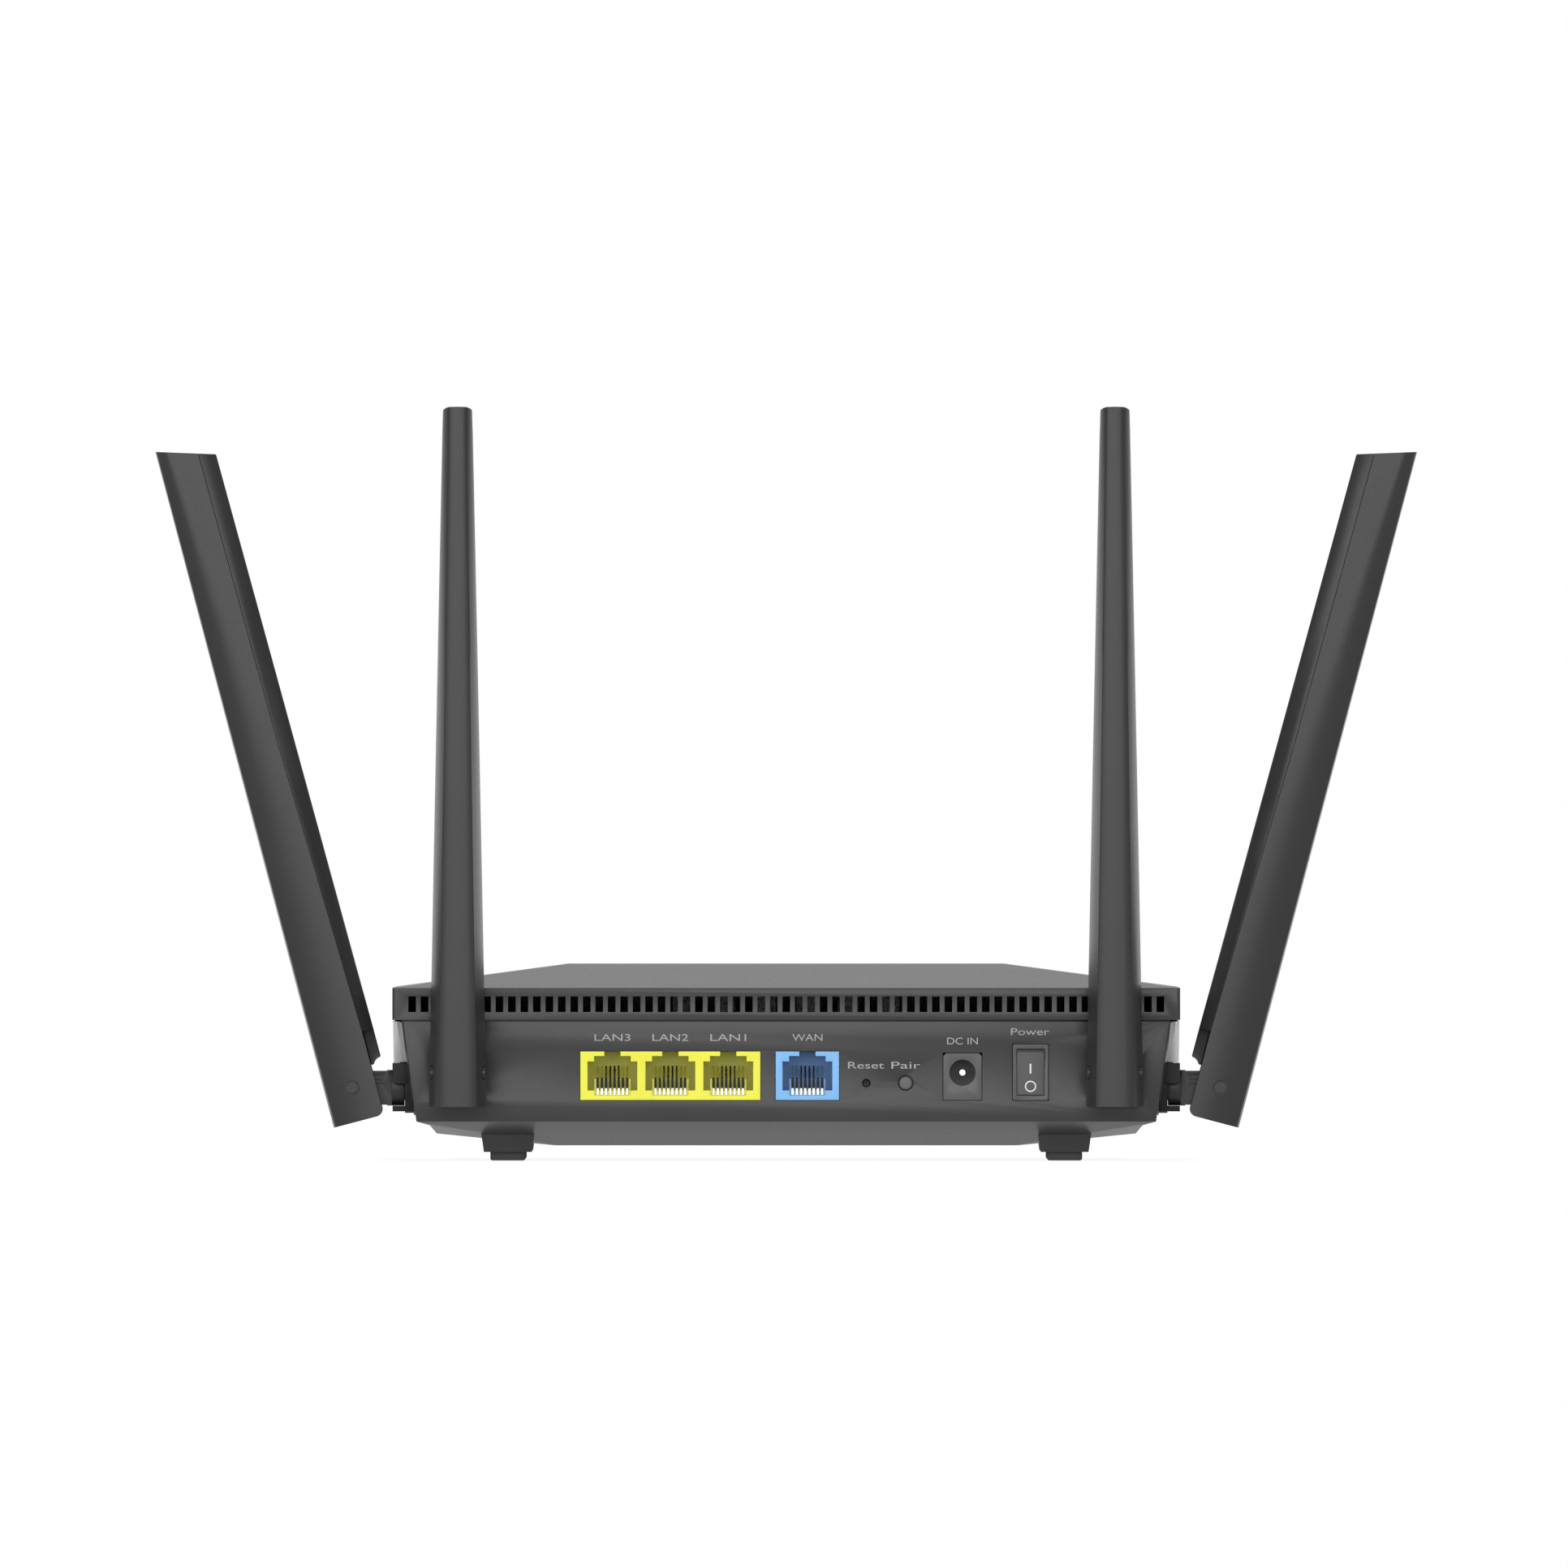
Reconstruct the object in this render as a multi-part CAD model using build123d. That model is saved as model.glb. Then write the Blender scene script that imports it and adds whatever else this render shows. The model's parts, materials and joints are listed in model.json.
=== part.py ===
from build123d import *
import math
import os

# Wireless router, millimetres.  +Z is up, the port side faces -Y and +X is to the right when
# the ports are looked at.  Z = 0 is the surface that the rubber feet stand on, X = 0 is the
# middle of the case, and Y = 0 is half way between the rear antennas and the front of the case.

# ---- driving dimensions: case -------------------------------------------------------------
case_width = 190.0            # across the top cover's rim
case_depth = 128.0            # rear of the rim to the front
rear_reach = 17.2             # how far the upright rear antennas stand out behind the rim
seam_z = 34.0                 # where the top cover starts
rim_z = 41.7                  # top of the vertical rim
roof_z = 47.4                 # flat plateau of the top cover
plateau_half = 52.7           # half width of the plateau
plateau_setback = 36.0        # rim to plateau, at the rear and at the front
cover_wall = 2.2
floor_z = 3.6                 # underside of the flat floor
belly_z = 9.5                 # lower edge of the rear wall
base_wall = 2.0
wall_step = 0.6               # the lower rear wall stands in from the rim
seam_gap = 0.4                # shadow gap under the top cover
wall_low_half = 89.2          # half width of the rear wall at its lower edge
wall_top_half = 92.4          # half width of the rear wall at the seam
floor_half = 55.0             # half width of the flat floor where the rear facet ends
floor_setback = 30.0          # depth of the sloping facets under the rear and the front
flank_low = (84.5, 6.4)       # (x, z) where the underside meets the leaning flank
flank_high = (95.0, 21.4)     # (x, z) where the leaning flank meets the upright side
keel = (58.2, 3.8)            # (x, z) where the flat floor meets the side of the underside
corner_setback = 45.0         # how far forward the facets under the rear corners run
flare_half = 94.0             # half width of the seam where the first flare ends
flare_run = 8.0               # depth of the first flare
full_run = 30.0               # from the rear wall to the full width
case_big = 400.0              # larger than anything in the case

# ---- driving dimensions: ports ------------------------------------------------------------
board_top = 14.7
board_thick = 1.6
port_proud = 0.4              # sockets stand this far out of the rear wall
port_depth = 21.0
port_height = 11.7
port_pitch = 13.97
lan_x = -27.95
lan_width = 43.4
wan_x = 5.1
wan_width = 15.3
socket_depth = 14.0
contact_pitch = 1.016
contact_width = 0.45
contact_count = 8
cut_gap = 0.12                # play between a part and its opening in the rear wall
button_z = 18.8
reset_x = 19.3
reset_hole = 2.07
pairing_x = 28.8
pairing_hole = 3.8
pairing_cap = 3.1
jack_x = 42.5
jack_width = 9.3
jack_height = 11.3
jack_hole_z = 21.3
jack_hole = 6.25
jack_pin = 2.0
switch_x = 58.9
switch_width = 8.5
switch_height = 13.4
switch_proud = 0.8
rocker_width = 6.5
rocker_radius = 5.9
rocker_swing = 7.0            # degrees each side of the middle
pivot_depth = 2.4             # rocker's pivot behind the mouth of its frame

# ---- driving dimensions: antennas ---------------------------------------------------------
blade_length = 168.7
pin_from_tip = 160.5
ridge_to_pin = 6.8            # outer ridge to hinge pin
tip_half = 3.54               # half width of the blade at its tip
blade_spread = 0.0216         # how fast the half width grows at the tip
blade_easing = 0.9e-5         # how much less it grows further down
tip_slant = 0.305             # the tip is cut lower on its inner side
leg_depth = 12.6              # depth of the fork legs
leg_round = 1.8
slot_half = 3.15              # half width of the fork slot
tongue_half = 3.0
tongue_height = 8.2
neck_start = 8.4              # distances from the pin towards the case
barrel_start = 9.55
barrel_radius = 4.3
shaft_radius = 3.0
running_gap = 0.05
lead_radius = 0.65
hinge_pin_radius = 1.35
hinge_pin_half = 6.6          # half length, almost flush with the blade
pin_recess = 5.7              # from here outwards the blade's bore is a little wider
rear_pin_x = 79.2
rear_pin_z = 21.3
rear_pin_gap = 11.0           # rear wall to hinge pin
side_pin_x = 104.7
side_pin_z = 17.6
side_hinge_inset = 14.0       # side hinges stand forward of the rear wall
side_lean = 14.8              # degrees that the side antennas lean out at rest
sleeve_radius = 4.0
sleeve_length = 2.6           # from the seat of the flange to the end of the sleeve
side_barrel_end = 12.6        # distances from the pin towards the case
side_seat = 14.8
side_flange_radius = 6.1
rear_barrel_end = 11.0
rear_seat = 12.3
rear_flange_radius = 5.6

# ---- derived places -----------------------------------------------------------------------
half_width = case_width / 2
rear_y = rear_reach - (case_depth + rear_reach) / 2
front_y = rear_y + case_depth
wall_y = rear_y + wall_step
port_face_y = wall_y - port_proud
board_bottom = board_top - board_thick
side_hinge_y = wall_y + side_hinge_inset
pocket_top = side_pin_z + 6.2
rear_pin_y = wall_y - rear_pin_gap
base_top = seam_z - seam_gap
led_y = front_y - 21.0
LOW = (Align.CENTER, Align.CENTER, Align.MIN)


# ---- small helpers ------------------------------------------------------------------------
def block(x0, x1, y0, y1, z0, z1):
    """A box between two corners."""
    middle = Pos((x0 + x1) / 2, (y0 + y1) / 2, (z0 + z1) / 2)
    return middle * Box(x1 - x0, y1 - y0, z1 - z0)


def rod(start, end, radius):
    """A round bar from one point to another."""
    run = Vector(*end) - Vector(*start)
    return Plane(origin=start, z_dir=run) * Cylinder(radius, run.length, align=LOW)


def merged(shapes):
    """One shape from several that touch or overlap."""
    whole = shapes[0]
    for shape in shapes[1:]:
        whole = whole + shape
    return whole


def beyond(p, q, r, inset=0.0):
    """Everything on the outer side of the plane through p, q and r, moved in by inset."""
    heart = Vector(0, (rear_y + front_y) / 2, 25)
    first = Vector(*p)
    normal = (Vector(*q) - first).cross(Vector(*r) - first).normalized()
    if normal.dot(heart - first) > 0:
        normal = normal * -1
    cut_plane = Plane(origin=first - normal * inset, z_dir=normal)
    return cut_plane * Box(case_big, case_big, case_big, align=LOW)


def yz_prism(points, x0, x1):
    """A prism along X from an outline of (y, z) points."""
    outline = Polyline(*[(x0, y, z) for y, z in points], close=True)
    return extrude(make_face(outline), amount=x1 - x0, dir=(1, 0, 0))


def write(name, shape):
    """Write one sub-part, as plain solids."""
    solids = shape.solids()
    whole = solids[0] if len(solids) == 1 else Compound(children=list(solids))
    export_step(whole, f"parts/{name}.step")


# ---- case ---------------------------------------------------------------------------------
def cover_form(inset):
    """The hipped form of the top cover, shrunk by inset for its inside."""
    bottom = seam_z if inset == 0 else seam_z - 1
    form = block(-half_width + inset, half_width - inset, rear_y + inset, front_y - inset,
                 bottom, roof_z - inset)
    if inset == 0:
        form = fillet(form.edges().filter_by(Axis.Z), radius=0.8)
    plateau_rear = rear_y + plateau_setback
    plateau_front = front_y - plateau_setback
    form -= beyond((0, rear_y, rim_z), (9, rear_y, rim_z), (0, plateau_rear, roof_z), inset)
    form -= beyond((0, front_y, rim_z), (9, front_y, rim_z), (0, plateau_front, roof_z), inset)
    for side in (-1, 1):
        form -= beyond((side * half_width, 0, rim_z), (side * half_width, 9, rim_z),
                       (side * plateau_half, 0, roof_z), inset)
    return form


def base_form(inset):
    """The faceted form of the lower case: a wide body and the rear wall's lower corners."""
    top = base_top if inset == 0 else seam_z + 3
    front = front_y - wall_step
    form = block(-half_width + inset, half_width - inset, wall_y + inset, front - inset,
                 floor_z + inset, top)
    lean = (wall_top_half - wall_low_half) / (seam_z - belly_z)
    rear_facet = beyond((0, wall_y, belly_z), (9, wall_y, belly_z),
                        (0, wall_y + floor_setback, floor_z), inset)
    form -= beyond((0, front, belly_z), (9, front, belly_z), (0, front - floor_setback, floor_z), inset)
    shared_cuts = [rear_facet]
    for side in (-1, 1):
        low = (side * flank_low[0], flank_low[1])
        high = (side * flank_high[0], flank_high[1])
        rear_corner = (side * wall_low_half, wall_y, belly_z)
        floor_corner = (side * floor_half, wall_y + floor_setback, floor_z)
        seam_end = (side * wall_top_half, wall_y, seam_z)
        flare_end = (side * flare_half, wall_y + flare_run, seam_z)
        flare_foot = (side * (flare_half - lean * (seam_z - belly_z)), wall_y + flare_run, belly_z)
        shared_cuts.append(beyond(rear_corner, floor_corner,
                                  (low[0], wall_y + corner_setback, low[1]), inset))
        shared_cuts.append(beyond((side * keel[0], 0, keel[1]), (low[0], 0, low[1]),
                                  (low[0], 9, low[1]), inset))
        form -= beyond((low[0], front - corner_setback, low[1]),
                       (side * floor_half, front - floor_setback, floor_z),
                       (side * (wall_low_half - 2.7), front, belly_z), inset)
        form -= beyond((low[0], 0, low[1]), (high[0], 0, high[1]), (low[0], 9, low[1]), inset)
        form -= beyond(rear_corner, seam_end, flare_end, inset)
        form -= beyond(flare_end, (side * half_width, wall_y + full_run, seam_z), flare_foot, inset)
    for cut in shared_cuts:
        form -= cut
    if inset > 0:
        return form
    rear_end = block(-half_width, half_width, wall_y, wall_y + 25, floor_z, top)
    for side in (-1, 1):
        rear_end -= beyond((side * wall_low_half, wall_y, belly_z), (side * wall_top_half, wall_y, seam_z),
                           (side * (wall_low_half - 4.2), wall_y + 14, belly_z))
    for cut in shared_cuts:
        rear_end -= cut
    return form + rear_end


case_screw_spots = [(side * 78.0, y) for side in (-1, 1) for y in (wall_y + 46, front_y - 21)]
board_screw_spots = [(side * 66.5, y) for side in (-1, 1) for y in (wall_y + 27, wall_y + 100)]
foot_spots = [(side * 67.2, y) for side in (-1, 1) for y in (wall_y + 24, front_y - 25)]
case_boss_radius = 3.5
case_boss_top = 30.0
screw_shank = 1.3
screw_head = 2.8
screw_seat = 20.0


def top_cover():
    """The cover: roof, rim with its row of vent slots, screw bosses and lamp windows."""
    cover = cover_form(0) - cover_form(cover_wall)
    for x, y in case_screw_spots:
        boss = rod((x, y, case_boss_top), (x, y, roof_z), case_boss_radius) & cover_form(0)
        cover = cover + boss
    for x, y in case_screw_spots:
        cover -= rod((x, y, case_boss_top - 1), (x, y, 39.5), screw_shank)
    slot_width, slot_low, slot_high, slot_pitch, slot_count = 1.86, 35.9, 39.7, 3.007, 61
    for index in range(slot_count):
        x = (index - (slot_count - 1) / 2) * slot_pitch
        cover -= block(x - slot_width / 2, x + slot_width / 2, rear_y - 1, rear_y + cover_wall + 1,
                       slot_low, slot_high)
    for x in lamp_xs:
        cover -= block(x - 2.6, x + 2.6, led_y - 0.7, led_y + 0.7, seam_z, roof_z)
    return cover


def hinge_pocket(side):
    """Walls round the recess that a side antenna's swivel sits in."""
    walls = block(86.5, half_width, wall_y + 1, side_hinge_y + 11, 9.0, 25.6)
    return walls if side > 0 else mirror(walls, about=Plane.YZ)


def bottom_housing():
    """The lower shell: floor, walls, port openings, standoffs, bosses, feet and hinge seats."""
    outside = base_form(0)
    shell = outside - base_form(base_wall)
    lip_form = cover_form(cover_wall + 0.15) - cover_form(cover_wall + 1.3)
    lip = lip_form & block(-case_big, case_big, -case_big, case_big, base_top - 2.6, seam_z + 1.5)
    shell = shell + lip
    extras = []
    for x, y in case_screw_spots:
        extras.append(rod((x, y, floor_z), (x, y, case_boss_top), case_boss_radius + 1.2))
    for x, y in board_screw_spots:
        extras.append(rod((x, y, floor_z), (x, y, board_bottom), 3.2))
    for side in (-1, 1):
        extras.append(hinge_pocket(side))
        x = side * rear_pin_x
        extras.append(rod((x, wall_y, rear_pin_z), (x, wall_y + 3.4, rear_pin_z), 8.0))
    for extra in extras:
        shell = shell + (extra & outside)
    for side in (-1, 1):
        face_x = side * (side_pin_x - side_seat)
        low_x, high_x = sorted((face_x, side * (half_width + 1)))
        shell -= block(low_x, high_x, wall_y + 3, side_hinge_y + 9, 5.0, pocket_top)
        boss_end = side * 86.5
        shell += rod((boss_end, side_hinge_y, side_pin_z), (face_x, side_hinge_y, side_pin_z), 6.6)
        shell -= rod((side * 80, side_hinge_y, side_pin_z), (side * 99, side_hinge_y, side_pin_z),
                     sleeve_radius)
        shell -= block(*sorted((side * 80, side * (side_pin_x - side_seat - base_wall))),
                       side_hinge_y - 4.9, side_hinge_y + 4.9, side_pin_z - 4.9, side_pin_z + 4.9)
        x = side * rear_pin_x
        shell -= rod((x, wall_y - 1, rear_pin_z), (x, rear_pin_y + rear_seat, rear_pin_z),
                     rear_flange_radius + 0.1)
        shell -= rod((x, wall_y - 1, rear_pin_z), (x, wall_y + 9, rear_pin_z), sleeve_radius)
    for x, y in case_screw_spots:
        shell -= rod((x, y, -1), (x, y, screw_seat), screw_head + 0.3)
        shell -= rod((x, y, -1), (x, y, case_boss_top + 1), screw_shank + 0.15)
    for x, y in board_screw_spots:
        shell -= rod((x, y, 7.5), (x, y, board_bottom + 1), 1.1)
    for x, y in foot_spots:
        pedestal = extrude(Pos(x, y, 2.06) * Rectangle(11.6, 13.6), amount=4.9, taper=-8)
        pad_pocket = block(x - 4.25, x + 4.25, y - 5.25, y + 5.25, 0, 2.7)
        shell = shell + (pedestal - pad_pocket)
    for x in [-24 + 6 * index for index in range(9)]:
        shell -= block(x - 1, x + 1, wall_y + 42, wall_y + 84, floor_z - 1, floor_z + base_wall + 1)
    for side in (-1, 1):
        x = side * keyhole_half
        shell -= rod((x, keyhole_y, 0), (x, keyhole_y, 9), 4.1)
        shell -= block(x - 2.1, x + 2.1, keyhole_y, keyhole_y + 8, 0, 9)
        shell -= rod((x, keyhole_y + 8, 0), (x, keyhole_y + 8, 9), 2.1)
    return shell - rear_openings()


keyhole_half = 45.0
keyhole_y = wall_y + 62.0


def rear_openings():
    """Openings in the rear wall for the sockets, the buttons, the jack and the switch."""
    y0, y1 = wall_y - 1, wall_y + base_wall + 0.5
    low, high = board_top - cut_gap, board_top + port_height + cut_gap
    cuts = []
    for x, width in ((lan_x, lan_width), (wan_x, wan_width)):
        reach = width / 2 + cut_gap
        cuts.append(block(x - reach, x + reach, y0, y1, low, high))
    reach = jack_width / 2 + cut_gap
    cuts.append(block(jack_x - reach, jack_x + reach, y0, y1, low, board_top + jack_height + cut_gap))
    reach = switch_width / 2 + cut_gap
    cuts.append(block(switch_x - reach, switch_x + reach, y0, y1, low,
                      board_top + switch_height + cut_gap))
    cuts.append(rod((reset_x, y0, button_z), (reset_x, y1, button_z), reset_hole / 2))
    cuts.append(rod((pairing_x, y0, button_z), (pairing_x, y1, button_z), pairing_hole / 2))
    return Compound(children=cuts)


def rubber_feet():
    """Four rubber pads, let into the pedestals."""
    return Compound(children=[block(x - 4.25, x + 4.25, y - 5.25, y + 5.25, 0, 2.7)
                              for x, y in foot_spots])


def case_screws():
    """Four long screws that hold the two halves of the case together."""
    screws = []
    for x, y in case_screw_spots:
        screw = rod((x, y, screw_seat - 2), (x, y, screw_seat), screw_head)
        screw += rod((x, y, screw_seat - 1), (x, y, 38.5), screw_shank)
        screw -= block(x - 1.9, x + 1.9, y - 0.35, y + 0.35, screw_seat - 3, screw_seat - 1.1)
        screw -= block(x - 0.35, x + 0.35, y - 1.9, y + 1.9, screw_seat - 3, screw_seat - 1.1)
        screws.append(screw)
    return Compound(children=screws)


# ---- board and what is soldered to it -----------------------------------------------------
board_half = 71.0
board_rear = wall_y + 3.0
board_front = front_y - 17.0


def main_board():
    """The circuit board, with a hole for each of its screws."""
    board = block(-board_half, board_half, board_rear, board_front, board_bottom, board_top)
    for x, y in board_screw_spots:
        board -= rod((x, y, board_bottom - 1), (x, y, board_top + 1), 1.5)
    return board


def board_screws():
    """Four pan-head screws through the board into its standoffs."""
    screws = []
    for x, y in board_screw_spots:
        screw = rod((x, y, board_top), (x, y, board_top + 1.6), 2.6)
        screw += rod((x, y, 7.9), (x, y, board_top + 0.5), 1.1)
        screw -= block(x - 1.7, x + 1.7, y - 0.3, y + 0.3, board_top + 0.8, board_top + 3)
        screw -= block(x - 0.3, x + 0.3, y - 1.7, y + 1.7, board_top + 0.8, board_top + 3)
        screws.append(screw)
    return Compound(children=screws)


def socket_cavity(x):
    """The stepped hollow of one modular socket, with its latch notch at the top."""
    y0, y1 = port_face_y - 1, port_face_y + socket_depth
    steps = [(6.0, 17.0, 24.0), (4.4, 23.5, 25.3), (1.95, 25.0, 27.0), (4.35, 15.8, 17.5)]
    return merged([block(x - half, x + half, y0, y1, low, high) for half, low, high in steps])


def contact_comb(x):
    """The slotted comb that keeps one socket's contacts apart."""
    comb = block(x - 4.35, x + 4.35, port_face_y + 3.4, port_face_y + 7.0, 15.8, 19.8)
    comb += block(x - 4.35, x + 4.35, port_face_y + 1.5, port_face_y + 4.0, 15.8, 17.0)
    for offset in contact_offsets:
        comb -= block(x + offset - 0.3, x + offset + 0.3, port_face_y, port_face_y + 8, 15.9, 20)
    return comb


contact_offsets = [(index - (contact_count - 1) / 2) * contact_pitch
                   for index in range(contact_count)]


def port_block(x, width, socket_xs):
    """A moulded port block with one or more sockets in its face."""
    body = block(x - width / 2, x + width / 2, port_face_y, port_face_y + port_depth,
                 board_top, board_top + port_height)
    for socket_x in socket_xs:
        body -= socket_cavity(socket_x)
        body += contact_comb(socket_x)
    return body


def contacts(socket_xs):
    """The spring contacts of each socket: a short upright tip, then a long rising blade."""
    f = port_face_y
    outline = [(f + 1.1, 15.95), (f + 1.45, 15.95), (f + 1.45, 17.1), (f + 4.1, 17.9),
               (f + 10.4, 22.6), (f + 10.1, 22.9), (f + 3.9, 18.3), (f + 1.1, 17.5)]
    springs = []
    for socket_x in socket_xs:
        for offset in contact_offsets:
            x = socket_x + offset
            springs.append(yz_prism(outline, x - contact_width / 2, x + contact_width / 2))
    return Compound(children=springs)


lan_socket_xs = [lan_x - port_pitch, lan_x, lan_x + port_pitch]
jack_floor_y = wall_y + 10.5


def dc_jack():
    """The power inlet: a block with a round socket, and chamfered top corners."""
    body = block(jack_x - jack_width / 2, jack_x + jack_width / 2, wall_y - 0.2, wall_y + 13.5,
                 board_top, board_top + jack_height)
    top_edges = body.edges().filter_by(Axis.Y).group_by(Axis.Z)[-1]
    body = chamfer(top_edges, length=0.7)
    body -= rod((jack_x, wall_y - 2, jack_hole_z), (jack_x, jack_floor_y, jack_hole_z), jack_hole / 2)
    return body


def dc_jack_pin():
    """The centre pin of the power inlet, with a rounded tip."""
    pin = rod((jack_x, wall_y + 1.2, jack_hole_z), (jack_x, jack_floor_y, jack_hole_z), jack_pin / 2)
    return fillet(pin.edges().group_by(Axis.Y)[0], radius=0.45)


mouth_y = wall_y - switch_proud
pivot_y = mouth_y + pivot_depth
pivot_z = board_top + switch_height / 2


def power_switch_frame():
    """The switch's frame, with a round-backed pocket for the rocker and its two pivot holes."""
    half = switch_width / 2
    frame = block(switch_x - half, switch_x + half, mouth_y, wall_y + 15, board_top,
                  board_top + switch_height)
    frame = fillet(frame.edges().filter_by(Axis.Y), radius=0.4)
    gap = 0.1
    pocket_half = rocker_width / 2 + gap
    frame -= block(switch_x - pocket_half, switch_x + pocket_half, mouth_y - 1, pivot_y,
                   pivot_z - 5.65, pivot_z + 5.65)
    frame -= rod((switch_x - pocket_half, pivot_y, pivot_z), (switch_x + pocket_half, pivot_y, pivot_z),
                 rocker_radius + 0.15)
    frame -= rod((switch_x - half + 0.25, pivot_y, pivot_z), (switch_x + half - 0.25, pivot_y, pivot_z),
                 0.8 + running_gap)
    return frame


def power_rocker():
    """The rocker: two faces that meet in a shallow valley, round ends and two pivot stubs."""
    rise = math.tan(math.radians(rocker_swing + 1)) * 8
    valley = -pivot_depth + 0.2
    outline = [(valley, 0), (valley - rise, 8), (3.2, 8), (3.2, -8), (valley - rise, -8)]
    half = rocker_width / 2
    rocker = yz_prism(outline, -half, half)
    rocker &= rod((-half, 0, 0), (half, 0, 0), rocker_radius)
    rocker += rod((-half - 0.55, 0, 0), (half + 0.55, 0, 0), 0.8)
    return Pos(switch_x, pivot_y, pivot_z) * Rot(rocker_swing, 0, 0) * rocker


def switch_terminals():
    """Four legs that solder the switch to the board."""
    legs = []
    for side in (-1, 1):
        for y in (wall_y + 6.0, wall_y + 12.5):
            x = switch_x + side * 2.4
            legs.append(block(x - 0.4, x + 0.4, y - 0.3, y + 0.3, board_bottom - 1.4, board_bottom))
    return Compound(children=legs)


tact_front = wall_y + 6.0
tact_back = wall_y + 9.8


def tact_switch(x, bore):
    """A side-push switch: a small box with a bore for its plunger."""
    body = block(x - 3, x + 3, tact_front, tact_back, board_top, board_top + 7.2)
    body -= rod((x, tact_front - 1, button_z), (x, tact_front + 2.6, button_z), bore)
    return body


def reset_plunger():
    """The plunger behind the reset pinhole."""
    return rod((reset_x, wall_y + 3.2, button_z), (reset_x, tact_front + 2.0, button_z), 0.8)


def pairing_button():
    """The round pairing button: a cap through the wall, a collar behind it and a stem."""
    cap = rod((pairing_x, wall_y - 0.6, button_z), (pairing_x, wall_y + 2.6, button_z), pairing_cap / 2)
    cap = fillet(cap.edges().group_by(Axis.Y)[0], radius=0.3)
    collar = rod((pairing_x, wall_y + 2.2, button_z), (pairing_x, wall_y + 3.0, button_z), 2.5)
    stem = rod((pairing_x, wall_y + 2.5, button_z), (pairing_x, tact_front + 1.6, button_z), 1.1)
    return cap + collar + stem


lamp_xs = [-25.0 + 10.0 * index for index in range(6)]


def light_pipe():
    """The clear comb that carries each lamp's light up to its window in the roof."""
    pipe = block(lamp_xs[0] - 2, lamp_xs[-1] + 2, led_y - 0.6, led_y + 0.6, 28, 30)
    for x in lamp_xs:
        pipe += block(x - 2.5, x + 2.5, led_y - 0.6, led_y + 0.6, 16.4, roof_z)
    return pipe & cover_form_tall()


def cover_form_tall():
    """The cover's outer form, carried down to the board."""
    return cover_form(0) + block(-half_width, half_width, rear_y, front_y, board_top, seam_z)


def status_leds():
    """Six surface-mount lamps under the light pipe."""
    return Compound(children=[block(x - 1.6, x + 1.6, led_y - 0.8, led_y + 0.8, board_top, board_top + 1.1)
                              for x in lamp_xs])


chip_y = wall_y + 62.0
chip_top = board_top + 1.3
pad_top = chip_top + 1.0


def processor():
    """The main processor package."""
    return block(-8.5, 8.5, chip_y - 8.5, chip_y + 8.5, board_top, chip_top)


def thermal_pad():
    """The soft pad between the processor and its heat spreader."""
    return block(-9, 9, chip_y - 9, chip_y + 9, chip_top, pad_top)


def heat_spreader():
    """A finned aluminium block over the processor."""
    plate = block(-23, 23, chip_y - 20, chip_y + 20, pad_top, pad_top + 2)
    fin_count, fin_pitch, fin_half = 12, 3.9, 0.6
    for index in range(fin_count):
        x = (index - (fin_count - 1) / 2) * fin_pitch
        plate += block(x - fin_half, x + fin_half, chip_y - 20, chip_y + 20, pad_top + 1.5, pad_top + 9)
    return plate


shield_spots = [(-46.0, chip_y + 4.0), (46.0, chip_y + 4.0)]


def shield_cans():
    """Two pressed screening cans over the radio chips."""
    cans = []
    for x, y in shield_spots:
        can = block(x - 15, x + 15, y - 12, y + 12, board_top, board_top + 3.0)
        can -= block(x - 14.7, x + 14.7, y - 11.7, y + 11.7, board_top - 1, board_top + 2.7)
        cans.append(can)
    return Compound(children=cans)


def radio_chips():
    """Radio chips under the screening cans, two in each."""
    return Compound(children=[block(x + shift - 4, x + shift + 4, y - 4, y + 4, board_top, board_top + 0.9)
                              for x, y in shield_spots for shift in (-7, 7)])


def memory_chips():
    """Two memory packages beside the processor."""
    return Compound(children=[block(x - 4.5, x + 4.5, chip_y + 23, chip_y + 36, board_top, board_top + 1.1)
                              for x in (-14.0, 14.0)])


def line_transformers():
    """Isolation transformers behind the port blocks."""
    y0 = port_face_y + port_depth + 2
    return Compound(children=[block(x - 8, x + 8, y0, y0 + 9, board_top, board_top + 5.5)
                              for x in (-39.0, -19.0, 5.1)])


def power_coils():
    """Wound power inductors beside the inlet."""
    coils = []
    for x in (40.0, 50.0):
        coil = block(x - 3.6, x + 3.6, wall_y + 20, wall_y + 27.2, board_top, board_top + 4)
        coils.append(chamfer(coil.edges().filter_by(Axis.Z), length=1.4))
    return Compound(children=coils)


def capacitors():
    """Can capacitors in the power supply."""
    spots = [(33.0, wall_y + 22.0), (33.0, wall_y + 30.0), (58.0, wall_y + 23.5), (24.0, wall_y + 26.0)]
    cans = []
    for x, y in spots:
        cans.append(fillet(rod((x, y, board_top), (x, y, board_top + 7.7), 3.15).edges(), radius=0.3))
    return Compound(children=cans)


# ---- antennas -----------------------------------------------------------------------------
# A blade is drawn with its hinge pin at the origin and along X, its tip up and its outer ridge
# towards -Y.  `drop` is measured down from the tip, `depth` inwards from the ridge.
def blade_half(drop):
    """Half width of the blade."""
    return tip_half + blade_spread * drop - blade_easing * drop * drop


def ridge_half(drop):
    """Half width of the face that carries the outer ridge."""
    return 2.0 + 2.6 * drop / blade_length


def outer_crease(drop):
    """Depth at which the rounded outer side meets the flat side."""
    return min(3.5 + 5.6 * drop / 76, 9.1 + 1.8 * (drop - 76) / 24, inner_crease(drop) - 0.3)


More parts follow.
